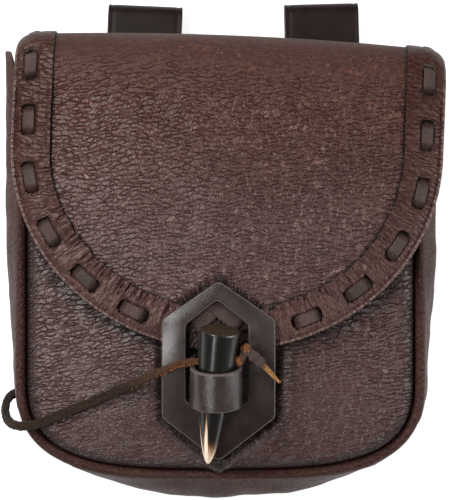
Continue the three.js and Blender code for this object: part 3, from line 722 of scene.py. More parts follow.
def polished_horn(name):
    """Polished horn: black, with two cream streaks that run up its left side from a cream tip."""
    made = Finish(name, Specular_IOR_Level=0.5)
    flat = made.coordinates("UV")
    streak = made.noise(made.mapped(flat, Scale=(26.0, 1.6, 1.0)), 3.0, 4.0, 0.6)
    reach = made.plus(made.axis(flat, "Y"), made.span(streak, 0.3, 0.7, -0.05, 0.05))
    for middle, half_width, rise in ((0.185, 0.05, 0.25), (0.06, 0.035, 0.21)):
        away = made.math("ABSOLUTE", made.minus(made.axis(flat, "X"), middle))
        reach = made.plus(reach, made.span(away, 0.0, half_width, rise, 0.0))
    stops = [
        (0.0, (0.003, 0.003, 0.002)),
        (0.81, (0.004, 0.0035, 0.0025)),
        (0.85, (0.05, 0.024, 0.01)),
        (0.89, (0.28, 0.16, 0.085)),
        (0.94, (0.55, 0.42, 0.31)),
        (1.0, (0.72, 0.6, 0.48)),
    ]
    made.link("Base Color", made.ramp(reach, stops))
    made.link("Roughness", made.span(streak, 0.3, 0.7, 0.22, 0.32))
    return made.material


def sawn_horn(name):
    """The horn's sawn end: brown rings, satin."""
    made = Finish(name, Specular_IOR_Level=0.25, Roughness=0.34)
    rings = made.noise(made.coordinates("UV"), 60.0, 3.0)
    stops = [(0.3, (0.01, 0.0065, 0.0035)), (0.7, (0.05, 0.031, 0.017))]
    made.link("Base Color", made.ramp(rings, stops))
    made.bump(rings, 0.05)
    return made.material


# Tones of the hides: plain is the leather's own colour; pebble lightens the pebbles' tops and lip the cracks'
# lips as painted highlights; crease is painted shade in cracks, puckers, beside covering edges and under the
# plate
hide_tones = Sizes(
    crease=(0.007, 0.0028, 0.0025),
    plain=(0.041, 0.018, 0.0158),
    pebble=(0.064, 0.0315, 0.0285),
    lip=(0.2, 0.122, 0.108),
)
border_tones = Sizes(
    crease=(0.005, 0.0022, 0.0018),
    plain=(0.047, 0.0218, 0.019),
    pebble=(0.075, 0.038, 0.034),
    lip=(0.15, 0.1, 0.088),
)
gusset_tones = Sizes(
    crease=(0.02, 0.008, 0.0065),
    plain=(0.037, 0.0152, 0.0122),
    pebble=(0.052, 0.024, 0.0195),
    lip=(0.074, 0.037, 0.032),
)
warm_glint = (1, 0.84, 0.78, 1)
hide_finish = pebbled_leather(
    "pebbled_hide",
    hide_tones,
    grain_of(crack_depth=0.5, lip=0.4, stretch=2.2, depth=0.36),
    sheen=0.34,
    plate_middle=(plate.middle, plate.centre),
    cover_shadow=5,
    crack_reach=26,
)
back_finish = pebbled_leather("back_hide", hide_tones, grain_of())
flap_finish = pebbled_leather(
    "flap_hide",
    hide_tones,
    grain_of(crack=1.65, lip=0.7, depth=0.44),
    sheen=0.34,
    glint=(1, 0.92, 0.89, 1),
    fold=30,
    upper=(0.82, 0.48, 0.34),
    plate_middle=(0.2, -90),
)
gusset_finish = pebbled_leather(
    "gusset_hide",
    gusset_tones,
    grain_of(pebble=1.0, crack=2.4, crack_depth=0.8, lip=0.3, depth=0.3),
    sheen=0.14,
    roughness=0.5,
    glint=warm_glint,
)
border_grain = grain_of(
    pebble=1.5,
    crack=1.7,
    crack_width=0.14,
    crack_depth=0.8,
    lip_width=0.14,
    lip=0.3,
    aside=0.5,
    stretch=2.6,
    fine=1.0,
    jitter=0.006,
    depth=0.24,
)
border_finish = pebbled_leather(
    "gathered_hide",
    border_tones,
    border_grain,
    sheen=0.18,
    roughness=0.36,
    glint=warm_glint,
    upper=(0.57, 0.4, 0.3),
    rolled=0.9,
)
strap_finish = smooth_leather("strap_leather", (0.006, 0.0028, 0.0024), (0.011, 0.0053, 0.0047), sheen=0.12)
plate_finish = smooth_leather(
    "plate_leather", (0.01, 0.0055, 0.0048), (0.026, 0.0155, 0.014), roughness=(0.26, 0.35), sheen=0.42
)
lace_finish = smooth_leather(
    "lace_leather", (0.014, 0.007, 0.0058), (0.058, 0.032, 0.027), 0.5, (0.5, 0.65), 0.9, 0.25
)
keeper_finish = smooth_leather(
    "keeper_leather", (0.013, 0.0078, 0.0075), (0.033, 0.021, 0.0205), 0.06, (0.19, 0.28), sheen=0.6
)
knot_finish = smooth_leather(
    "knot_grain", (0.014, 0.007, 0.005), (0.042, 0.021, 0.016), 0.3, (0.42, 0.55), 0.5, 0.3
)
thread_finish = smooth_leather(
    "seam_thread", (0.03, 0.013, 0.011), (0.055, 0.027, 0.022), 0.1, (0.6, 0.7), sheen=0.1
)
edge_finish = cut_edge("cut_edge", (0.035, 0.02, 0.015), (0.12, 0.08, 0.065))
dark_edge_finish = cut_edge("burnished_edge", (0.03, 0.022, 0.019), (0.10, 0.08, 0.072))
suede_finish = suede("suede_thong", (0.062, 0.027, 0.0125), (0.021, 0.0125, 0.008), 20, 55)
tail_finish = suede("suede_tail", (0.16, 0.08, 0.035), (0.36, 0.19, 0.075), 0, 9)
fray_finish = suede("frayed_suede", (0.34, 0.135, 0.045), (0.34, 0.135, 0.045), 0, 100)
horn_finish = polished_horn("polished_horn")
sawn_finish = sawn_horn("sawn_horn")


# Heights of the body's surfaces
def rim_distance(x, y):
    """How far inside the body's rim a point lies."""
    across = np.abs(x - body.middle) / body.half_width
    down = np.maximum(0, body.corner_top - y) / body.corner_height
    n = body.squareness
    level = np.maximum((across**n + down**n) ** (1 / n), 1e-6)
    slope_across = (across / level) ** (n - 1) / body.half_width
    slope_down = (down / level) ** (n - 1) / body.corner_height
    return np.where(level < 1e-5, body.half_width, (1 - level) / np.hypot(slope_across, slope_down))


def crown_share(y):
    up = (y - front.belly) / (body.top - front.belly)
    down = (front.belly - y) / (front.belly - body.corner_top + body.corner_height)
    return np.where(y > front.belly, 1 - (1 - front.mouth_share) * up**2, np.maximum(0, 1 - down**2))


def front_height(x, y):
    away = np.clip(rim_distance(x, y) / front.roll, 0, 1)
    roll = front.roll * np.sqrt(1 - (1 - away) ** 2)
    across = 1 - ((x - body.middle) / body.half_width) ** 2
    return front.seam + roll + front.crown * crown_share(y) * np.maximum(0, across)


def flap_height(u, y):
    across = 1 - (u / flap.crown_half_width) ** 2
    beyond = np.maximum(0, np.abs(u) - flap.side_from) / (flap.half_width - flap.side_from)
    base = front.seam + front.roll + flap.above
    return base + front.crown * crown_share(y) * across - flap.side_drop * beyond**2


def back_height(y):
    return back.lift * step(y, back.flat_top, back.lifted_from)


def plate_height(x, y):
    past = np.maximum(0, plate.bend_from - y) / plate.bend_length
    across = (x - plate.middle) / plate.half_width
    return flap_height(0, front.belly) + plate.above - plate.bend_drop * past**2 - plate.side_drop * across**2


def hexagon(shape):
    """Six corners, from the top to the right and round."""
    right, left = shape.middle + shape.half_width, shape.middle - shape.half_width
    return np.array(
        [
            (shape.middle, shape.top),
            (right, shape.shoulder),
            (right, shape.hip),
            (shape.middle, shape.bottom),
            (left, shape.hip),
            (left, shape.shoulder),
        ]
    )


def plate_distance(x, y):
    """How far a point lies outside the clasp plate's outline."""
    corners = hexagon(plate)
    distance = np.full(np.shape(x), -1e9)
    for start, end in zip(corners, np.roll(corners, -1, axis=0)):
        way = unit(end - start)
        distance = np.maximum(distance, (y - start[1]) * way[0] - (x - start[0]) * way[1])
    return distance


def pucker(x, y, rise):
    """Leather drawn up round the clasp plate, in small creases that run away from it."""
    distance = plate_distance(x, y)
    around = puckers.turn * np.arctan2(y - plate.centre, x - plate.middle)
    crease = noise(around, distance * 0.35, 1.5, 11) + 0.6 * noise(around, distance * 0.5, 0.8, 12)
    return hump(distance - puckers.out, puckers.width) * (rise + puckers.crease * crease)


# Body pieces
def u_outline(outline, top, spacing):
    """An evenly spaced U outline from its left end round to its right end, and its ways out."""
    turn = np.linspace(0, np.pi, 3000)
    power = 2 / outline.squareness
    across = np.sign(-np.cos(turn)) * np.abs(np.cos(turn)) ** power
    down = np.abs(np.sin(turn)) ** power
    corner = np.stack(
        [outline.middle + outline.half_width * across, outline.corner_top - outline.corner_height * down], -1
    )
    ends = [(outline.middle - outline.half_width, top), (outline.middle + outline.half_width, top)]
    rim = even(np.concatenate([ends[:1], corner, ends[1:]]), spacing)
    way = np.gradient(rim, axis=0)
    return rim, unit(np.stack([way[:, 1], -way[:, 0]], -1))


def rings_of(outline, rim, shares):
    """The rim shrunk towards the outline's axis, a row for each share."""
    x = outline.middle + shares * (rim[:, :1] - outline.middle)
    y = np.where(rim[:, 1:] < outline.corner_top, mix(outline.corner_top, rim[:, 1:], shares), rim[:, 1:])
    return x, y


def height_normal(height, x, y):
    reach = 0.05
    slope_x = (height(x + reach, y) - height(x - reach, y)) / (2 * reach)
    slope_y = (height(x, y + reach) - height(x, y - reach)) / (2 * reach)
    return unit(np.stack([-slope_x, -slope_y, np.ones_like(slope_x)], -1))


def front_panel():
    """The crowned front: lumps, wrinkles beside its seam, and puckers below the clasp plate's middle."""
    rim, _ = u_outline(body, body.top, PANEL_STATION)
    shares = 1 - np.concatenate([np.linspace(0, 0.1, 16), np.linspace(0.1, 1, 70)[1:]])
    x, y = rings_of(body, rim, shares)
    from_rim = rim_distance(x, y)
    inside = step(from_rim, 2, 14)
    bowed = y + 0.002 * (x - body.middle) ** 2
    wrinkle = noise(0.3 * x + 0.8 * noise(x, y, 9, 18), bowed, wrinkles.width, 19)
    beside_seam = band(from_rim, 3, 7, 14, 32) * band(y, -62, -30, 8, 20)
    deep = mix(wrinkles.left, wrinkles.right, step(x, -20, 20))
    creases = wrinkles.swell * wrinkle - wrinkles.cut * hump(wrinkle, wrinkles.cut_share)
    relief = lumps(x, y, front_lumps) + beside_seam * deep * creases
    low_half = step(-y, 36, 50)
    lift = relief * inside + low_half * pucker(x, y, puckers.front_rise)
    normal = height_normal(front_height, x, y)
    outer = np.stack([x, y, front_height(x, y)], -1)
    inner = outer - PANEL * normal
    flat = grid_of(x, y)
    # The second layer's Y, the nearer of the flap's edge and the seam's rim, places painted shade beside them
    edges = grid_of(plate_distance(x, y), np.minimum(flap_edge_distance(x, y), from_rim))
    piece = sheet("front_leather", outer + lift[..., None] * normal, inner, flat, axis=True, edges=edges)
    return place(piece, "pebbled_leather", [hide_finish, edge_finish], "front_panel")


def back_panel():
    """The back: flat where it lies, lifted towards its top."""
    outline = Sizes(**vars(body))
    outline.half_width += back.outset
    outline.corner_height += back.outset
    rim, _ = u_outline(outline, back.top, BACK_STATION)
    x, y = rings_of(outline, rim, np.linspace(1, 0, 36))
    low = np.stack([x, y, back_height(y)], -1)
    high = low + [0, 0, PANEL]
    piece = sheet("back_leather", high, low, grid_of(x, y), axis=True)
    soften(piece, rounding.panel)
    return place(piece, "pebbled_leather", [back_finish, edge_finish], "back_panel")


def bulge_reach(rim, out):
    """How far the gusset stands out past the seam, along the rim's way out."""
    near, far = np.full(len(rim), 5.0), np.full(len(rim), 20.0)
    for _ in range(30):
        reach = (near + far) / 2
        x, y = (rim + reach[:, None] * out).T
        half = mix(bulge.low_half_width, bulge.half_width, step(y, bulge.corner_top, 0))
        across = np.abs(x - bulge.middle) / half
        down = np.maximum(0, bulge.corner_top - y) / bulge.corner_height
        outside = across**bulge.squareness + down**bulge.squareness > 1
        far = np.where(outside, reach, far)
        near = np.where(outside, near, reach)
    return near


def gusset_section(rim, out):
    """Control points of the gusset's section at each station: way out and height, from front to back seam."""
    reach = bulge_reach(rim, out)
    low = back_height(rim[:, 1]) + PANEL + CLEAR
    wide = mix(low, front.seam, 0.55)
    level = np.ones(len(rim))
    points = [(step_out * level, (front.seam + up) * level) for step_out, up in seam_roll]
    points += [
        (np.minimum(5, reach - 0.3), (front.seam - 0.2) * level),
        (reach, wide),
        (0.7 * reach + 0.4, mix(low, wide, 0.35)),
        (1.4 * level, low),
    ]
    return np.array(points).transpose(2, 0, 1), reach


def gusset():
    """The side wall along the seam; its left end reaches higher than its right end."""
    rim, out = u_outline(body, body.top, PANEL_STATION)
    control, reach = gusset_section(rim, out)
    section = spline(control, 9)
    way = unit(np.gradient(section, axis=1))
    along = np.arange(len(rim))[:, None] * PANEL_STATION
    round_it = np.arange(section.shape[1])[None] * 1.0
    relief = band(round_it, 24, 34, 48, 54) * lumps(along, round_it, gusset_lumps)
    left = out[:, :1] < 0
    share = step(section[..., 0] / reach[:, None], gusset_end.rise_from, gusset_end.rise_to)
    seam = np.where(left, gusset_end.left_seam, gusset_end.right_seam)
    belly = np.where(left, gusset_end.left_belly, gusset_end.right_belly)
    end = mix(seam, belly, share)
    straight = np.maximum(0, rim[:, 1:] - 50) / (body.top - 50)
    rim_y = rim[:, 1:] + straight * (end - body.top)

    def points(lift):
        away = section[..., 0] - lift * way[..., 1]
        height = section[..., 1] + lift * way[..., 0]
        return np.stack([rim[:, :1] + away * out[:, :1], rim_y + away * out[:, 1:], height], -1)

    inner = points(-GUSSET + 0 * relief)
    piece = sheet("gusset_leather", points(relief), inner, grid_of(round_it, along))
    soften(piece, rounding.panel)
    return place(piece, "pebbled_leather", [gusset_finish, edge_finish], "gusset")


# The flap's bend along its length: v is 0 at the oval's middle and grows over the top to the tail
shoulder = flap.top_inner - flap.front_radius
front_arc = Sizes(y=shoulder, z=float(flap_height(0, shoulder)) - flap.front_radius)
tail_face = 2 * STRAP + loop.belt_room + CLEAR + PANEL
back_arc = Sizes(y=flap.top_inner - flap.back_radius, z=tail_face + flap.back_radius)
fold_start = shoulder - flap.oval_middle
top_start = fold_start + flap.front_radius * math.pi / 2
top_end = top_start + front_arc.z - back_arc.z
tail_start = top_end + flap.back_radius * math.pi / 2
flap_length = tail_start + back_arc.y - flap.tail_end


def flap_point(u, v, w):
    """A point w above the flap's inner face, at u across and v along the flat leather."""
    u, v, w = np.broadcast_arrays(u, v, w)
    zones = [v <= fold_start, v <= top_start, v <= top_end, v <= tail_start]
    turn = (v - fold_start) / flap.front_radius
    back_turn = (v - top_end) / flap.back_radius
    out_y = np.select(zones, [0 * v, np.sin(turn), 1 + 0 * v, np.cos(back_turn)], 0)
    out_z = np.select(zones, [1 + 0 * v, np.cos(turn), 0 * v, -np.sin(back_turn)], -1)
    side = (flap_height(u, shoulder) - flap_height(0, shoulder)) * (1 - step(v, fold_start, top_end))
    on_front = flap.oval_middle + np.minimum(v, fold_start)
    over = front_arc.y + flap.front_radius * out_y
    behind = back_arc.y + flap.back_radius * out_y
    y = np.select(zones, [on_front, over, flap.top_inner + 0 * v, behind], back_arc.y - v + tail_start)
    drop = front_arc.z + side + np.where(v <= top_start, flap.front_radius * out_z, top_start - v)
    low = back_arc.z + flap.back_radius * out_z
    z = np.select(zones, [flap_height(u, on_front), drop, drop, low], tail_face)
    beyond = np.clip((np.abs(u) - flap.half_width + flap.corner_width) / flap.corner_width, 0, 1)
    sag = flap.sag * (u / flap.sag_width) ** 2 + flap.corner_droop * (1 - np.sqrt(1 - beyond**2))
    y = y + out_y * w - step(v, fold_start - flap.sag_lead, top_start) * sag
    return np.stack([*leaned(u, y, flap.lean), z + out_z * w], -1)


def leaned(x, y, lean):
    """A point turned with the flap by a lean, clockwise seen from the front."""
    x, rise = turned(x, y - flap.lean_about, -lean)
    return x, flap.lean_about + rise


def on_flap(x, y):
    """The flat place on the flap over a point of the front."""
    u, rise = leaned(x, y, -flap.lean)
    return np.stack([u, rise - flap.oval_middle], -1)


def over_front(u, v):
    """The point of the front under a flat place on the flap."""
    return leaned(u, v + flap.oval_middle, flap.lean)


def flap_edge_distance(x, y):
    """How far a point of the front lies outside the flap's edge."""
    u, v = np.moveaxis(on_flap(x, y), -1, 0)
    across, down = u / flap.half_width, np.minimum(v, 0) / flap.oval_height
    level = np.maximum(np.hypot(across, down), 1e-6)
    slope = np.maximum(np.hypot(across / flap.half_width, down / flap.oval_height) / level, 1e-6)
    return (level - 1) / slope


def folded(v):
    """1 where the flap goes over its fold, 0 on its front and its tail."""
    return band(v, fold_start - 14, fold_start, tail_start, tail_start + 6)


def flap_line(inset):
    """A line round the flap, inset from its edge, with its length along the oval."""
    turns = np.linspace(0, np.pi, 2000)
    wide, high = flap.half_width - inset, flap.oval_height - inset
    oval = np.stack([-wide * np.cos(turns), -high * np.sin(turns)], -1)
    return oval, lengths_along(oval)


def line_at(line, distance):
    """A place on a line round the flap; distance 0 is the oval's middle on the left side."""
    oval, lengths = line
    u = np.interp(distance, lengths, oval[:, 0])
    v = np.interp(distance, lengths, oval[:, 1])
    v = v + np.maximum(0, -distance) + np.maximum(0, distance - lengths[-1])
    return np.stack([u, v], -1)


edge_line = flap_line(0)
lace_line = flap_line(lace.inset)
edge_round = edge_line[1][-1]
stitch_middles = np.arange(-1, 6) * lace.pitch - lace.first_stitch


def spot_and_way(line, distance):
    """A place on a line round the flap, and the line's way there."""
    spot = line_at(line, distance)
    return spot, unit(line_at(line, distance + 0.1) - spot)


def inset_spot(distance, inset):
    """A spot inset from the flap's edge, opposite a distance along that edge."""
    spot, way = spot_and_way(edge_line, distance)
    return spot[..., 0] - inset * way[..., 1], spot[..., 1] + inset * way[..., 0]


def lace_spot(distance, mirror):
    spot, way = spot_and_way(lace_line, distance)
    return spot * [mirror, 1], way * [mirror, 1]


def from_lace(u, v, ends):
    """Places along and across the lace, from each stitch's middle or its ends, on both sides."""
    for mirror in (1, -1):
        for middle in stitch_middles:
            for end in ends:
                spot, way = lace_spot(np.array(middle + end * lace.stitch), mirror)
                away_u, away_v = u - spot[0], v - spot[1]
                yield away_u * way[0] + away_v * way[1], away_v * way[0] - away_u * way[1]


def slit_shape(u, v):
    """How deep in a slit each place lies: 1 at its middle, 0 on its rim, less outside."""
    depth = np.full(np.shape(u), -9.0)
    for along, across in from_lace(u, v, (-0.5, 0.5)):
        depth = np.maximum(depth, 1 - ((along / slit.along) ** 4 + (across / slit.across) ** 4) ** 0.25)
    return depth


def stitch_cover(u, v):
    """Where the laces lie on the border: 1 under a stitch, 0 beside it."""
    cover = np.zeros(np.shape(u))
    for along, across in from_lace(u, v, (0,)):
        past_end = 1 - step(np.abs(along) - lace.stitch / 2, 0, 2)
        cover = np.maximum(cover, past_end * (1 - step(np.abs(across) - lace.width / 2, 0.2, 0.9)))
    return cover


def cells_of(grid):
    """A grid's values at the middles of its cells."""
    return (grid[:-1, :-1] + grid[1:, :-1] + grid[1:, 1:] + grid[:-1, 1:]) / 4


def flap_sheet():
    """The flap in rows from its edge to its axis, with slits for the laces."""
    distance = np.arange(-flap_length, edge_round + flap_length + 0.6, PANEL_STATION)[:, None]
    near_edge = np.linspace(0, border.width, 18)
    u, v = inset_spot(distance, near_edge)
    middle_v = np.maximum(v[:, -1:], 0)
    shares = np.linspace(1, 0, 52)[1:]
    u = np.concatenate([u, u[:, -1:] * shares], 1)
    v = np.concatenate([v, mix(middle_v, v[:, -1:], shares)], 1)
    x, y = over_front(u, v)
    relief = lumps(u, v, flap_lumps) * (1 - step(v, fold_start - 10, fold_start + 6))
    relief = relief + (1 - step(v, -20, 0)) * pucker(x, y, puckers.flap_rise)
    keep = cells_of(slit_shape(u, v)) < 0
    inset = np.concatenate([near_edge, border.width + 40 * (1 - shares)])
    # The second layer's Y, from the border's inner edge, places painted shadow under that edge
    edges = grid_of(plate_distance(x, y), inset - border.width)
    outer = flap_point(u, v, PANEL + relief + flap.fold_swell * folded(v))
    inner = flap_point(u, v, 0)
    piece = sheet("flap_leather", outer, inner, grid_of(u, v), keep, axis=True, edges=edges)
    soften(piece, rounding.panel)
    return place(piece, "pebbled_leather", [flap_finish, edge_finish], "flap")


def border_strip():
    """The gathered strip: a rolled edge, ribs beside it, pleats from its inner edge and hollows for laces."""
    distance = np.arange(-flap_length, edge_round + flap_length + 0.3, BORDER_STATION)[:, None]
    rows = [np.linspace(0, 2.4, 9), np.linspace(2.4, 10.4, 12)[1:], np.linspace(10.4, border.width, 11)[1:]]
    inset = np.concatenate(rows)
    from_ends = np.minimum(distance + flap_length, edge_round + flap_length - distance)
    gathered = mix(0.3, 1.0, step(from_ends, 80, 140)) * step(from_ends, 60, 80)
    pleat = noise(distance + 0.6 * noise(distance, inset, 5, 17), 0.1 * inset, gathers.pleat, 7)
    crinkle = noise(distance, 0.2 * inset, gathers.crinkle, 8)
    rib = noise(distance, 0.12 * inset, gathers.rib, 23)
    inner_half = step(inset, 7, 14)
    u, v = inset_spot(distance, inset + gathered * gathers.pleat_sway * pleat * step(inset, 12, 16))
    x, y = over_front(u, v)
    round_edge = 1 - ((inset - gathers.bead) / gathers.bead_half_width) ** 2
    bead = gathers.bead * np.sqrt(np.maximum(0, round_edge))
    bead = bead - gathers.groove * hump(inset - gathers.groove_at, gathers.groove_width)
    swell = gathers.swell * band(inset, 1.6, 4, 13, 16)
    ribs = gathers.rib_height * rib * band(inset, 1.6, 2.2, 3.5, 6.5)
    folds = gathers.pleat_height * pleat + gathers.crinkle_height * crinkle
    folds = folds - gathers.pleat_cut * hump(pleat, gathers.cut_share) * inner_half
    folds = folds * mix(0.5, 1.0, inner_half)
    depth = slit_shape(u, v)
    pressed = np.maximum(stitch_cover(u, v), 1 - step(plate_distance(x, y), -3, 0))
    ripple = (bead + swell) * (1 - folded(v)) + gathered * (ribs + folds)
    ripple = mix(ripple, -lace.sunk, pressed) - 0.4 * step(depth, -0.7, 0)
    low = PANEL + mix(CLEAR, flap.fold_swell + 0.1, folded(v))
    thickness = mix(border.leather, border.fold_leather, folded(v))
    keep = cells_of(depth) < 0
    outer = flap_point(u, v, low + thickness + ripple)
    flat = grid_of(inset, distance)
    # The second layer's Y, the inset from the rolled edge, places the roll's painted highlights; X places
    # painted shade under the plate
    edges = grid_of(plate_distance(x, y), inset)
    piece = sheet("border_leather", outer, flap_point(u, v, low), flat, keep, edges=edges)
    soften(piece, rounding.border)
    return place(piece, "pebbled_leather", [border_finish, edge_finish], "flap_border")


# Laces
lace_over = PANEL + CLEAR + border.leather + CLEAR + lace.leather / 2 - lace.sunk
lace_under = -CLEAR - lace.leather / 2


def lace_height(distance, stitches):
    """How high a lace lies: over the border on its stitches, under the flap between them."""
    over = 0
    for start, end in stitches:
        half = lace.dive / 2
        over = over + step(distance, start - half, start + half) - step(distance, end - half, end + half)
    return mix(lace_under, lace_over, over)


def lace_sheet(name, spot_at, start, end, stitches, width=lace.width):
    """A flat thong along a line of the flap, in and out of the leather."""
    distance = np.arange(start, end + LACE_STATION / 2, LACE_STATION)
    spot, way = spot_at(distance)
    across = np.linspace(-0.5, 0.5, 9)[None] * width
    slope = np.arctan(np.gradient(lace_height(distance, stitches), distance))[:, None]
    middle = (lace_height(distance, stitches) - 0.5 * folded(spot[:, 1]))[:, None]
    crown = lace.crown * (1 - (2 * across / width) ** 2)

    def points(lift):
        shift = -lift * np.sin(slope)
        u = spot[:, :1] + shift * way[:, :1] - across * way[:, 1:]
        v = spot[:, 1:] + shift * way[:, 1:] + across * way[:, :1]
        return flap_point(u, v, middle + lift * np.cos(slope))

    fibre = lace.fibre * noise(distance[:, None], 3 * across, 1.4, 9)
    outer = points(lace.leather / 2 - 0.2 + crown + fibre)
    inner = points(-lace.leather / 2 + 0 * across)
    return soften(sheet(name, outer, inner, grid_of(across, distance[:, None])), rounding.lace)


def edge_lace(name, mirror):
    """The lace down one side of the flap."""
    half = lace.stitch / 2
    stitches = [(middle - half, middle + half) for middle in stitch_middles]
    start, end = stitches[0][0] - lace.before, stitches[-1][1] + lace.after

    def spot_at(distance):
        return lace_spot(distance, mirror)

    piece = lace_sheet(name + "_leather", spot_at, start, end, stitches)
    return place(piece, "lace_leather", [lace_finish, dark_edge_finish], name)


def window_lace(ends):
    """A lace's end that comes up through the flap and shows in the window."""
    start, end = on_flap(*ends.start), on_flap(*ends.end)
    length = np.linalg.norm(end - start)
    way = (end - start) / length
    stitches = [(0, length + lace.dive)]
    width = lace.window_share * lace.width

    def spot_at(distance):
        return start + distance[:, None] * way, np.broadcast_to(way, (len(distance), 2))

    piece = lace_sheet(ends.name + "_leather", spot_at, -lace.after, length, stitches, width)
    return place(piece, "lace_leather", [lace_finish, dark_edge_finish], ends.name)


# Clasp
def rounded(corners, radius, per_side, per_corner):
    """A polygon with rounded corners, the same count of points for each side and corner."""
    points = []
    neighbours = zip(np.roll(corners, 1, axis=0), corners, np.roll(corners, -1, axis=0))
    for before, corner, after in neighbours:
        into, onward = unit(before - corner), unit(after - corner)
        half = math.acos(np.clip(into @ onward, -1, 1)) / 2
        reach = radius / math.tan(half)
        for share in np.linspace(0, 1, per_corner):
            bend = mix(mix(into * reach, 0, share), mix(0, onward * reach, share), share)
            points.append(corner + bend)
        stop = np.linalg.norm(after - corner) - reach
        for share in np.linspace(0, 1, per_side + 2)[1:-1]:
            points.append(corner + onward * mix(reach, stop, share))
    points.append(points[0])
    return np.array(points)


def clasp_plate():
    """The stiff plate round its window, padded at its shoulders and bent at the left one."""
    outer_line = rounded(hexagon(plate), plate_relief.corner, 14, 8)
    inner_line = rounded(hexagon(pane), plate_relief.pane_corner, 14, 8)
    shares = np.linspace(0, 1, 15)[None, :, None]
    line = mix(outer_line[:, None], inner_line[:, None], shares)
    x, y = line[..., 0], line[..., 1]
    low = plate_height(x, y)
    across = (x - plate.middle) / plate.half_width
    upper = step(y, plate_relief.lower, plate_relief.upper)
    at_shoulder = hump(y - plate_relief.shoulder, plate_relief.shoulder_width)
    padded = mix(plate_relief.edge_swell, plate_relief.shoulder_swell, at_shoulder)
    swell = padded * np.sin(np.pi * shares[..., 0]) + plate_relief.upper_crown * (1 - across**2) * upper
    swell = swell + plate_relief.lower_wings * across**2 * (1 - upper)
    swell = swell + plate_relief.lumps * noise(x, y, 14, 10)
    swell = swell - plate_relief.left_bend * np.minimum(across, 0) ** 4 * at_shoulder
    top = np.stack([x, y, low + PLATE + swell], -1)
    piece = sheet("clasp_leather", top, np.stack([x, y, low], -1), line, ring=True)
    soften(piece, rounding.plate, 3, 1)
    return place(piece, "smooth_leather", [plate_finish, dark_edge_finish], "clasp_plate")


def keeper_loop():
    """The strap loop that stands out of the front and leans with the toggle."""
    turn = np.linspace(0, np.pi, 40)
    arc = np.stack([np.cos(turn), np.sin(turn)], -1)
    drop = np.linspace(-keeper.leg, 0, 18)[:-1]
    right = np.stack([np.ones_like(drop), np.zeros_like(drop)], -1)
    normal = np.concatenate([right, arc, right[::-1] * [-1, 1]])
    rise = np.concatenate([drop, np.zeros(len(turn)), drop[::-1]])
    across = np.linspace(-0.5, 0.5, 25)[None] * keeper.width

    def points(radius):
        x = radius * normal[:, :1] + 0 * across
        height = radius * normal[:, 1:] + rise[:, None] + 0 * across
        return np.stack([x, *turned(across, height, keeper.lean)], -1) + keeper.middle

    along = np.cumsum(np.full(len(rise), 1.2))[:, None]
    swell = 0.18 * np.cos(np.pi * across / keeper.width) + 0.1 * noise(along, across, 7, 13)
    outer = points(keeper.radius + STRAP + swell)
    piece = sheet("keeper_leather", outer, points(keeper.radius), grid_of(across, along))
    soften(piece, rounding.keeper, 3, 1)
    return place(piece, "smooth_leather", [keeper_finish, dark_edge_finish], "keeper_loop")


def horn_toggle():
    """The horn tip in rings, from its sawn top to its blunt end."""
    top, tip = np.array(horn.top), np.array(horn.tip)
    length = np.linalg.norm(tip - top)
    way = (tip - top) / length
    sideways = unit(np.cross(way, [0, 0, 1]))
    up = np.cross(sideways, way)
    blunt_end = 0.9 + 0.1 * np.sin(np.linspace(0, np.pi / 2, 16))[1:]
    share = np.concatenate([np.linspace(0.006, 0.9, 60), blunt_end])
    radius = horn.radius * np.maximum(1 - share**horn.taper, 0.0004) ** horn.bluntness
    share = np.concatenate([[0, 0.0, 0.002], share])
    radius = np.concatenate([[0.01, 0.94 * horn.radius, 0.985 * horn.radius], radius])
    turn = np.linspace(0, 2 * np.pi, 49)[:-1]
    round_it = 6 * np.sin(turn)[None] + 9 * share[:, None]
    wobble = 1 + 0.012 * noise(6 * np.cos(turn)[None] + 20, round_it, 3, 14)
    ring = np.cos(turn)[None, :, None] * sideways + np.sin(turn)[None, :, None] * up
    rings = top + length * share[:, None, None] * way + (radius[:, None] * wobble)[..., None] * ring
    flat = grid_of(FLAT_UNIT * turn[None] / (2 * np.pi), FLAT_UNIT * share[:, None])
    piece = tube("horn_tip", rings, flat)
    sawn = [(np.array(face.center) / MM - top) @ way < 0.1 for face in piece.data.polygons]
    piece.data.polygons.foreach_set("material_index", np.array(sawn, np.int32))
    return place(piece, "horn", [horn_finish, sawn_finish], "horn_toggle")


# Thong
def transported(path, start_up):
    """Ways along a path, and ups carried along it without twist."""
    way = unit(np.gradient(path, axis=0))
    ups, up = [], np.asarray(start_up, float)
    for one in way:
        up = unit(up - (up @ one) * one)
        ups.append(up)
    return way, np.array(ups)


def strand(name, path, half_width, half_depth, roughness, seed):
    """A flat-sided soft strand along a path, with rough skin."""
    way, up = transported(path, (0, 0, 1))
    side = np.cross(way, up)
    turn = np.linspace(0, 2 * np.pi, 25)[:-1]
    square = np.maximum(np.abs(np.cos(turn)), np.abs(np.sin(turn))) ** 0.55
    along = lengths_along(path)
    rough = 1 + roughness * noise(along[:, None], 9 * turn[None] / np.pi, 0.9, seed)
    across = (half_width[:, None] * np.cos(turn) / square * rough)[..., None] * side[:, None]
    high = (half_depth[:, None] * np.sin(turn) / square * rough)[..., None] * up[:, None]
    return tube(name, path[:, None] + across + high, grid_of(4 * turn[None], along[:, None]))


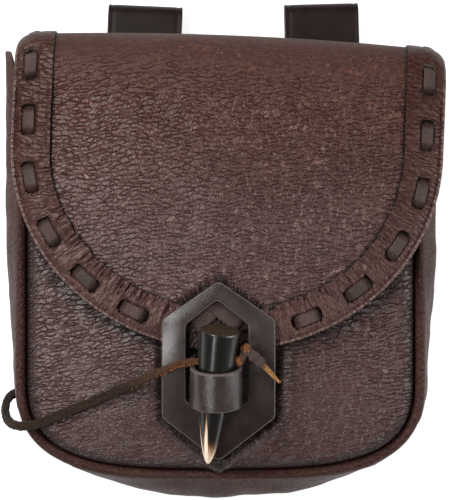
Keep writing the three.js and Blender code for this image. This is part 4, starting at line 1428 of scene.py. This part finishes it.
def fibres(name, roots, ways, lengths, thickness):
    """Loose suede fibres: thin three-sided spikes."""
    points, faces = [], []
    for root, way, length in zip(roots, ways, lengths):
        way = unit(way)
        side = thickness * unit(np.cross(way, (0.31, 0.52, 0.8)))
        over = np.cross(way, side)
        first = len(points)
        droop = np.array((0, 0, -0.25 * length))
        points += [root + side, root - 0.5 * side + 0.87 * over, root - 0.5 * side - 0.87 * over]
        points += [root + way * length + droop]
        tip = first + 3
        faces += [[first, first + 1, tip], [first + 1, first + 2, tip], [first + 2, first, tip]]
    return mesh_piece(name, points, faces, np.zeros((len(points), 2)))


def toggle_thong():
    """The thong, slimmer beside the toggle and round the pouch's edge; also returns its path."""
    path = even(spline(thong_route, 12), THONG_STATION)
    count = len(path)
    share = np.linspace(0, 1, count)
    slim = mix(1.0, 0.8, step(share, 0.72, 0.85))
    slim = slim * mix(0.5, 0.85, step(share, 0.1, 0.4))
    half_width = np.full(count, thong.width / 2) * slim
    half_depth = np.full(count, thong.depth / 2) * mix(0.7, 0.95, step(share, 0.1, 0.4))
    piece = strand("suede_thong", path, half_width, half_depth, 0.17, 15)
    place(piece, "suede", [suede_finish], "toggle_thong")
    return piece, path


def thong_knot():
    """The knot's rolled body beside the toggle's hole."""
    path = even(spline(knot_route, 12), KNOT_STATION)
    share = np.linspace(0, 1, len(path))
    radius = np.interp(share, np.linspace(0, 1, len(knot_radii)), knot_radii)
    lap = 0.25 * np.sin(7 * np.pi * share) * step(share, 0.4, 0.6)
    piece = strand("suede_knot", path, radius + lap, 0.8 * radius + lap, 0.06, 16)
    return place(piece, "suede", [knot_finish], "thong_knot")


def knot_tail():
    """The thong's loose end, thinner towards its tip."""
    path = even(spline(tail_route, 12), KNOT_STATION)
    share = np.linspace(0, 1, len(path))
    half_width = tail_half_width * mix(1.15, 0.45, share**2)
    piece = strand("suede_tail", path, half_width, 0.7 * half_width, 0.16, 20)
    return place(piece, "suede", [tail_finish])


def tufts(name, seed, sources, thickness):
    """Frayed suede: fibres that start about spots, each with a count, spread, way and longest length."""
    random = np.random.default_rng(seed)
    roots, ways, lengths = [], [], []
    for spot, count, spread, way, longest in sources:
        for _ in range(count):
            roots.append(np.array(spot) + random.normal(0, spread, 3))
            ways.append(np.array(way) + random.normal(0, 0.45, 3))
            lengths.append(random.uniform(0.3, 1) * longest)
    return place(fibres(name, roots, ways, lengths, thickness), "suede", [fray_finish])


def thong_fray(path):
    """Frayed fibres along the thong's lower edge near the toggle."""
    sources = [(spot + (0, -1, 0.2), 6, 0.4, (0, -1, 0.1), 1.0) for spot in path[12:64]]
    return tufts("thong_fray", 21, sources, 0.16)


def knot_fray():
    """Frayed ends: at the knot's top, beside the toggle's hole and along the tail."""
    sources = [
        ((8.6, -39.6, 68.2), 160, 0.8, (-0.3, 1, 0.4), 2.2),
        ((5.6, -43.8, 68), 140, 0.8, (-0.6, -0.4, 0.4), 1.6),
    ]
    sources += [((x, y, z + 0.6), 24, 0.3, (0.5, -0.6, 0.2), 1.2) for x, y, z in tail_route]
    return tufts("knot_fray", 22, sources, 0.16)


# Belt loops
def belt_loop(one):
    """A strap folded over at its top, with a line creased along each side of its face."""
    outer = STRAP + loop.belt_room / 2
    fold = one.top - outer
    turn = np.linspace(-np.pi / 2, np.pi / 2, 30)
    lower = np.linspace(loop.back_end, fold, 70)[:-1]
    upper = np.linspace(fold, loop.front_end, 34)[1:]
    y = np.concatenate([lower, np.full(len(turn), fold), upper])
    normal_y = np.concatenate([0 * lower, np.cos(turn), 0 * upper])
    normal_z = np.concatenate([0 * lower - 1, np.sin(turn), 0 * upper + 1])
    skived = mix(STRAP, loop.skived, step(-y, -loop.skive_from, -loop.back_end))
    thick = np.where(normal_z > -1, STRAP, skived)
    across = np.linspace(-0.5, 0.5, 41)[None] * loop.width
    from_edge = loop.width / 2 - np.abs(across)
    crease = -loop.crease * hump(from_edge - loop.crease_inset, loop.crease_width)

    def points(radius):
        up = y[:, None] + radius * normal_y[:, None] - one.top
        x, rise = turned(across, up, math.radians(one.tilt))
        z = outer + radius * normal_z[:, None]
        return np.stack([one.middle + x, one.top + rise, z + 0 * x], -1)

    bend = outer * np.diff(np.arctan2(normal_z, normal_y + 1e-9))
    along = np.concatenate([[0], np.cumsum(np.hypot(np.diff(y), bend))])
    shown = step(y[:, None], 0, 20) * (normal_z[:, None] > -0.999)
    face = points(outer + crease * shown)
    inner = points((outer - thick)[:, None] + 0 * across)
    piece = sheet(one.name + "_leather", face, inner, grid_of(across, along[:, None]))
    soften(piece, rounding.loop, 3)
    return place(piece, "smooth_leather", [strap_finish, dark_edge_finish], one.name)


# Seam thread on the gusset's roll
def seam_stitches():
    """Short threads along the seam, each a closed tube."""
    rim, out = u_outline(body, thread.top, thread.spacing)
    points, faces, flat = [], [], []
    sides = np.linspace(0, 2 * np.pi, 7)[:-1]
    for spot, away in zip(rim[2:-2], out[2:-2]):
        way = np.array((-away[1], away[0], 0))
        side = np.array((away[0], away[1], 0))
        middle = np.array((*(spot + thread.out * away), front.seam + thread.above))
        first = len(points)
        for along, girth in thread_girths:
            lift = -thread.sag * (along / thread.half_length) ** 2
            for turn in sides:
                round_it = side * math.cos(turn) + np.array((0, 0, 1)) * math.sin(turn)
                points.append(middle + way * along + round_it * girth + (0, 0, lift))
                flat.append((along, turn))
        faces += tube_faces(len(thread_girths), len(sides), first)
    piece = mesh_piece("seam_stitches", points, faces, np.array(flat))
    return place(piece, "pebbled_leather", [thread_finish])


front_panel()
back_panel()
gusset()
flap_sheet()
border_strip()
edge_lace("lace_left", 1)
edge_lace("lace_right", -1)
for ends in window_laces:
    window_lace(ends)
clasp_plate()
keeper_loop()
horn_toggle()
cord, cord_path = toggle_thong()
knot = thong_knot()
frays = [knot_tail(), thong_fray(cord_path), knot_fray()]
for one in loops:
    belt_loop(one)
seam_stitches()


# Floor, light and camera
def area_light(light):
    lamp = bpy.data.lights.new(light.name, "AREA")
    lamp.shape = "RECTANGLE"
    lamp.size, lamp.size_y = light.size
    lamp.energy = light.power
    holder = bpy.data.objects.new(light.name, lamp)
    holder.location = light.spot
    aim = Vector(LIGHTS_AIM) - Vector(light.spot)
    holder.rotation_euler = aim.to_track_quat("-Z", "Y").to_euler()
    bpy.context.scene.collection.objects.link(holder)


def pale_floor():
    made = Finish(
        "pale_floor",
        Base_Color=(floor.grey, floor.grey, floor.grey, 1),
        Roughness=0.9,
        Emission_Color=(1, 1, 1, 1),
        Emission_Strength=floor.glow,
    )
    mesh = bpy.data.meshes.new("floor")
    square = [(-1, -1), (1, -1), (1, 1), (-1, 1)]
    corners = [(x * floor.reach, y * floor.reach, floor.height) for x, y in square]
    mesh.from_pydata(corners, [], [(0, 1, 2, 3)])
    mesh.materials.append(made.material)
    ground = bpy.data.objects.new("floor", mesh)
    bpy.context.scene.collection.objects.link(ground)


pale_floor()
for light in lights:
    area_light(light)
world = bpy.data.worlds.new("studio")
world.use_nodes = True
world.node_tree.nodes["Background"].inputs["Color"].default_value = (1, 1, 1, 1)
world.node_tree.nodes["Background"].inputs["Strength"].default_value = WORLD_STRENGTH
bpy.context.scene.world = world
bpy.context.scene.view_settings.view_transform = "Standard"

camera = bpy.data.objects.new("camera", bpy.data.cameras.new("camera"))
camera.data.lens = SENSOR * VIEW_DISTANCE / VIEW_HEIGHT
camera.location = (0, 0, CAMERA_HEIGHT)
bpy.context.scene.collection.objects.link(camera)
bpy.context.scene.camera = camera
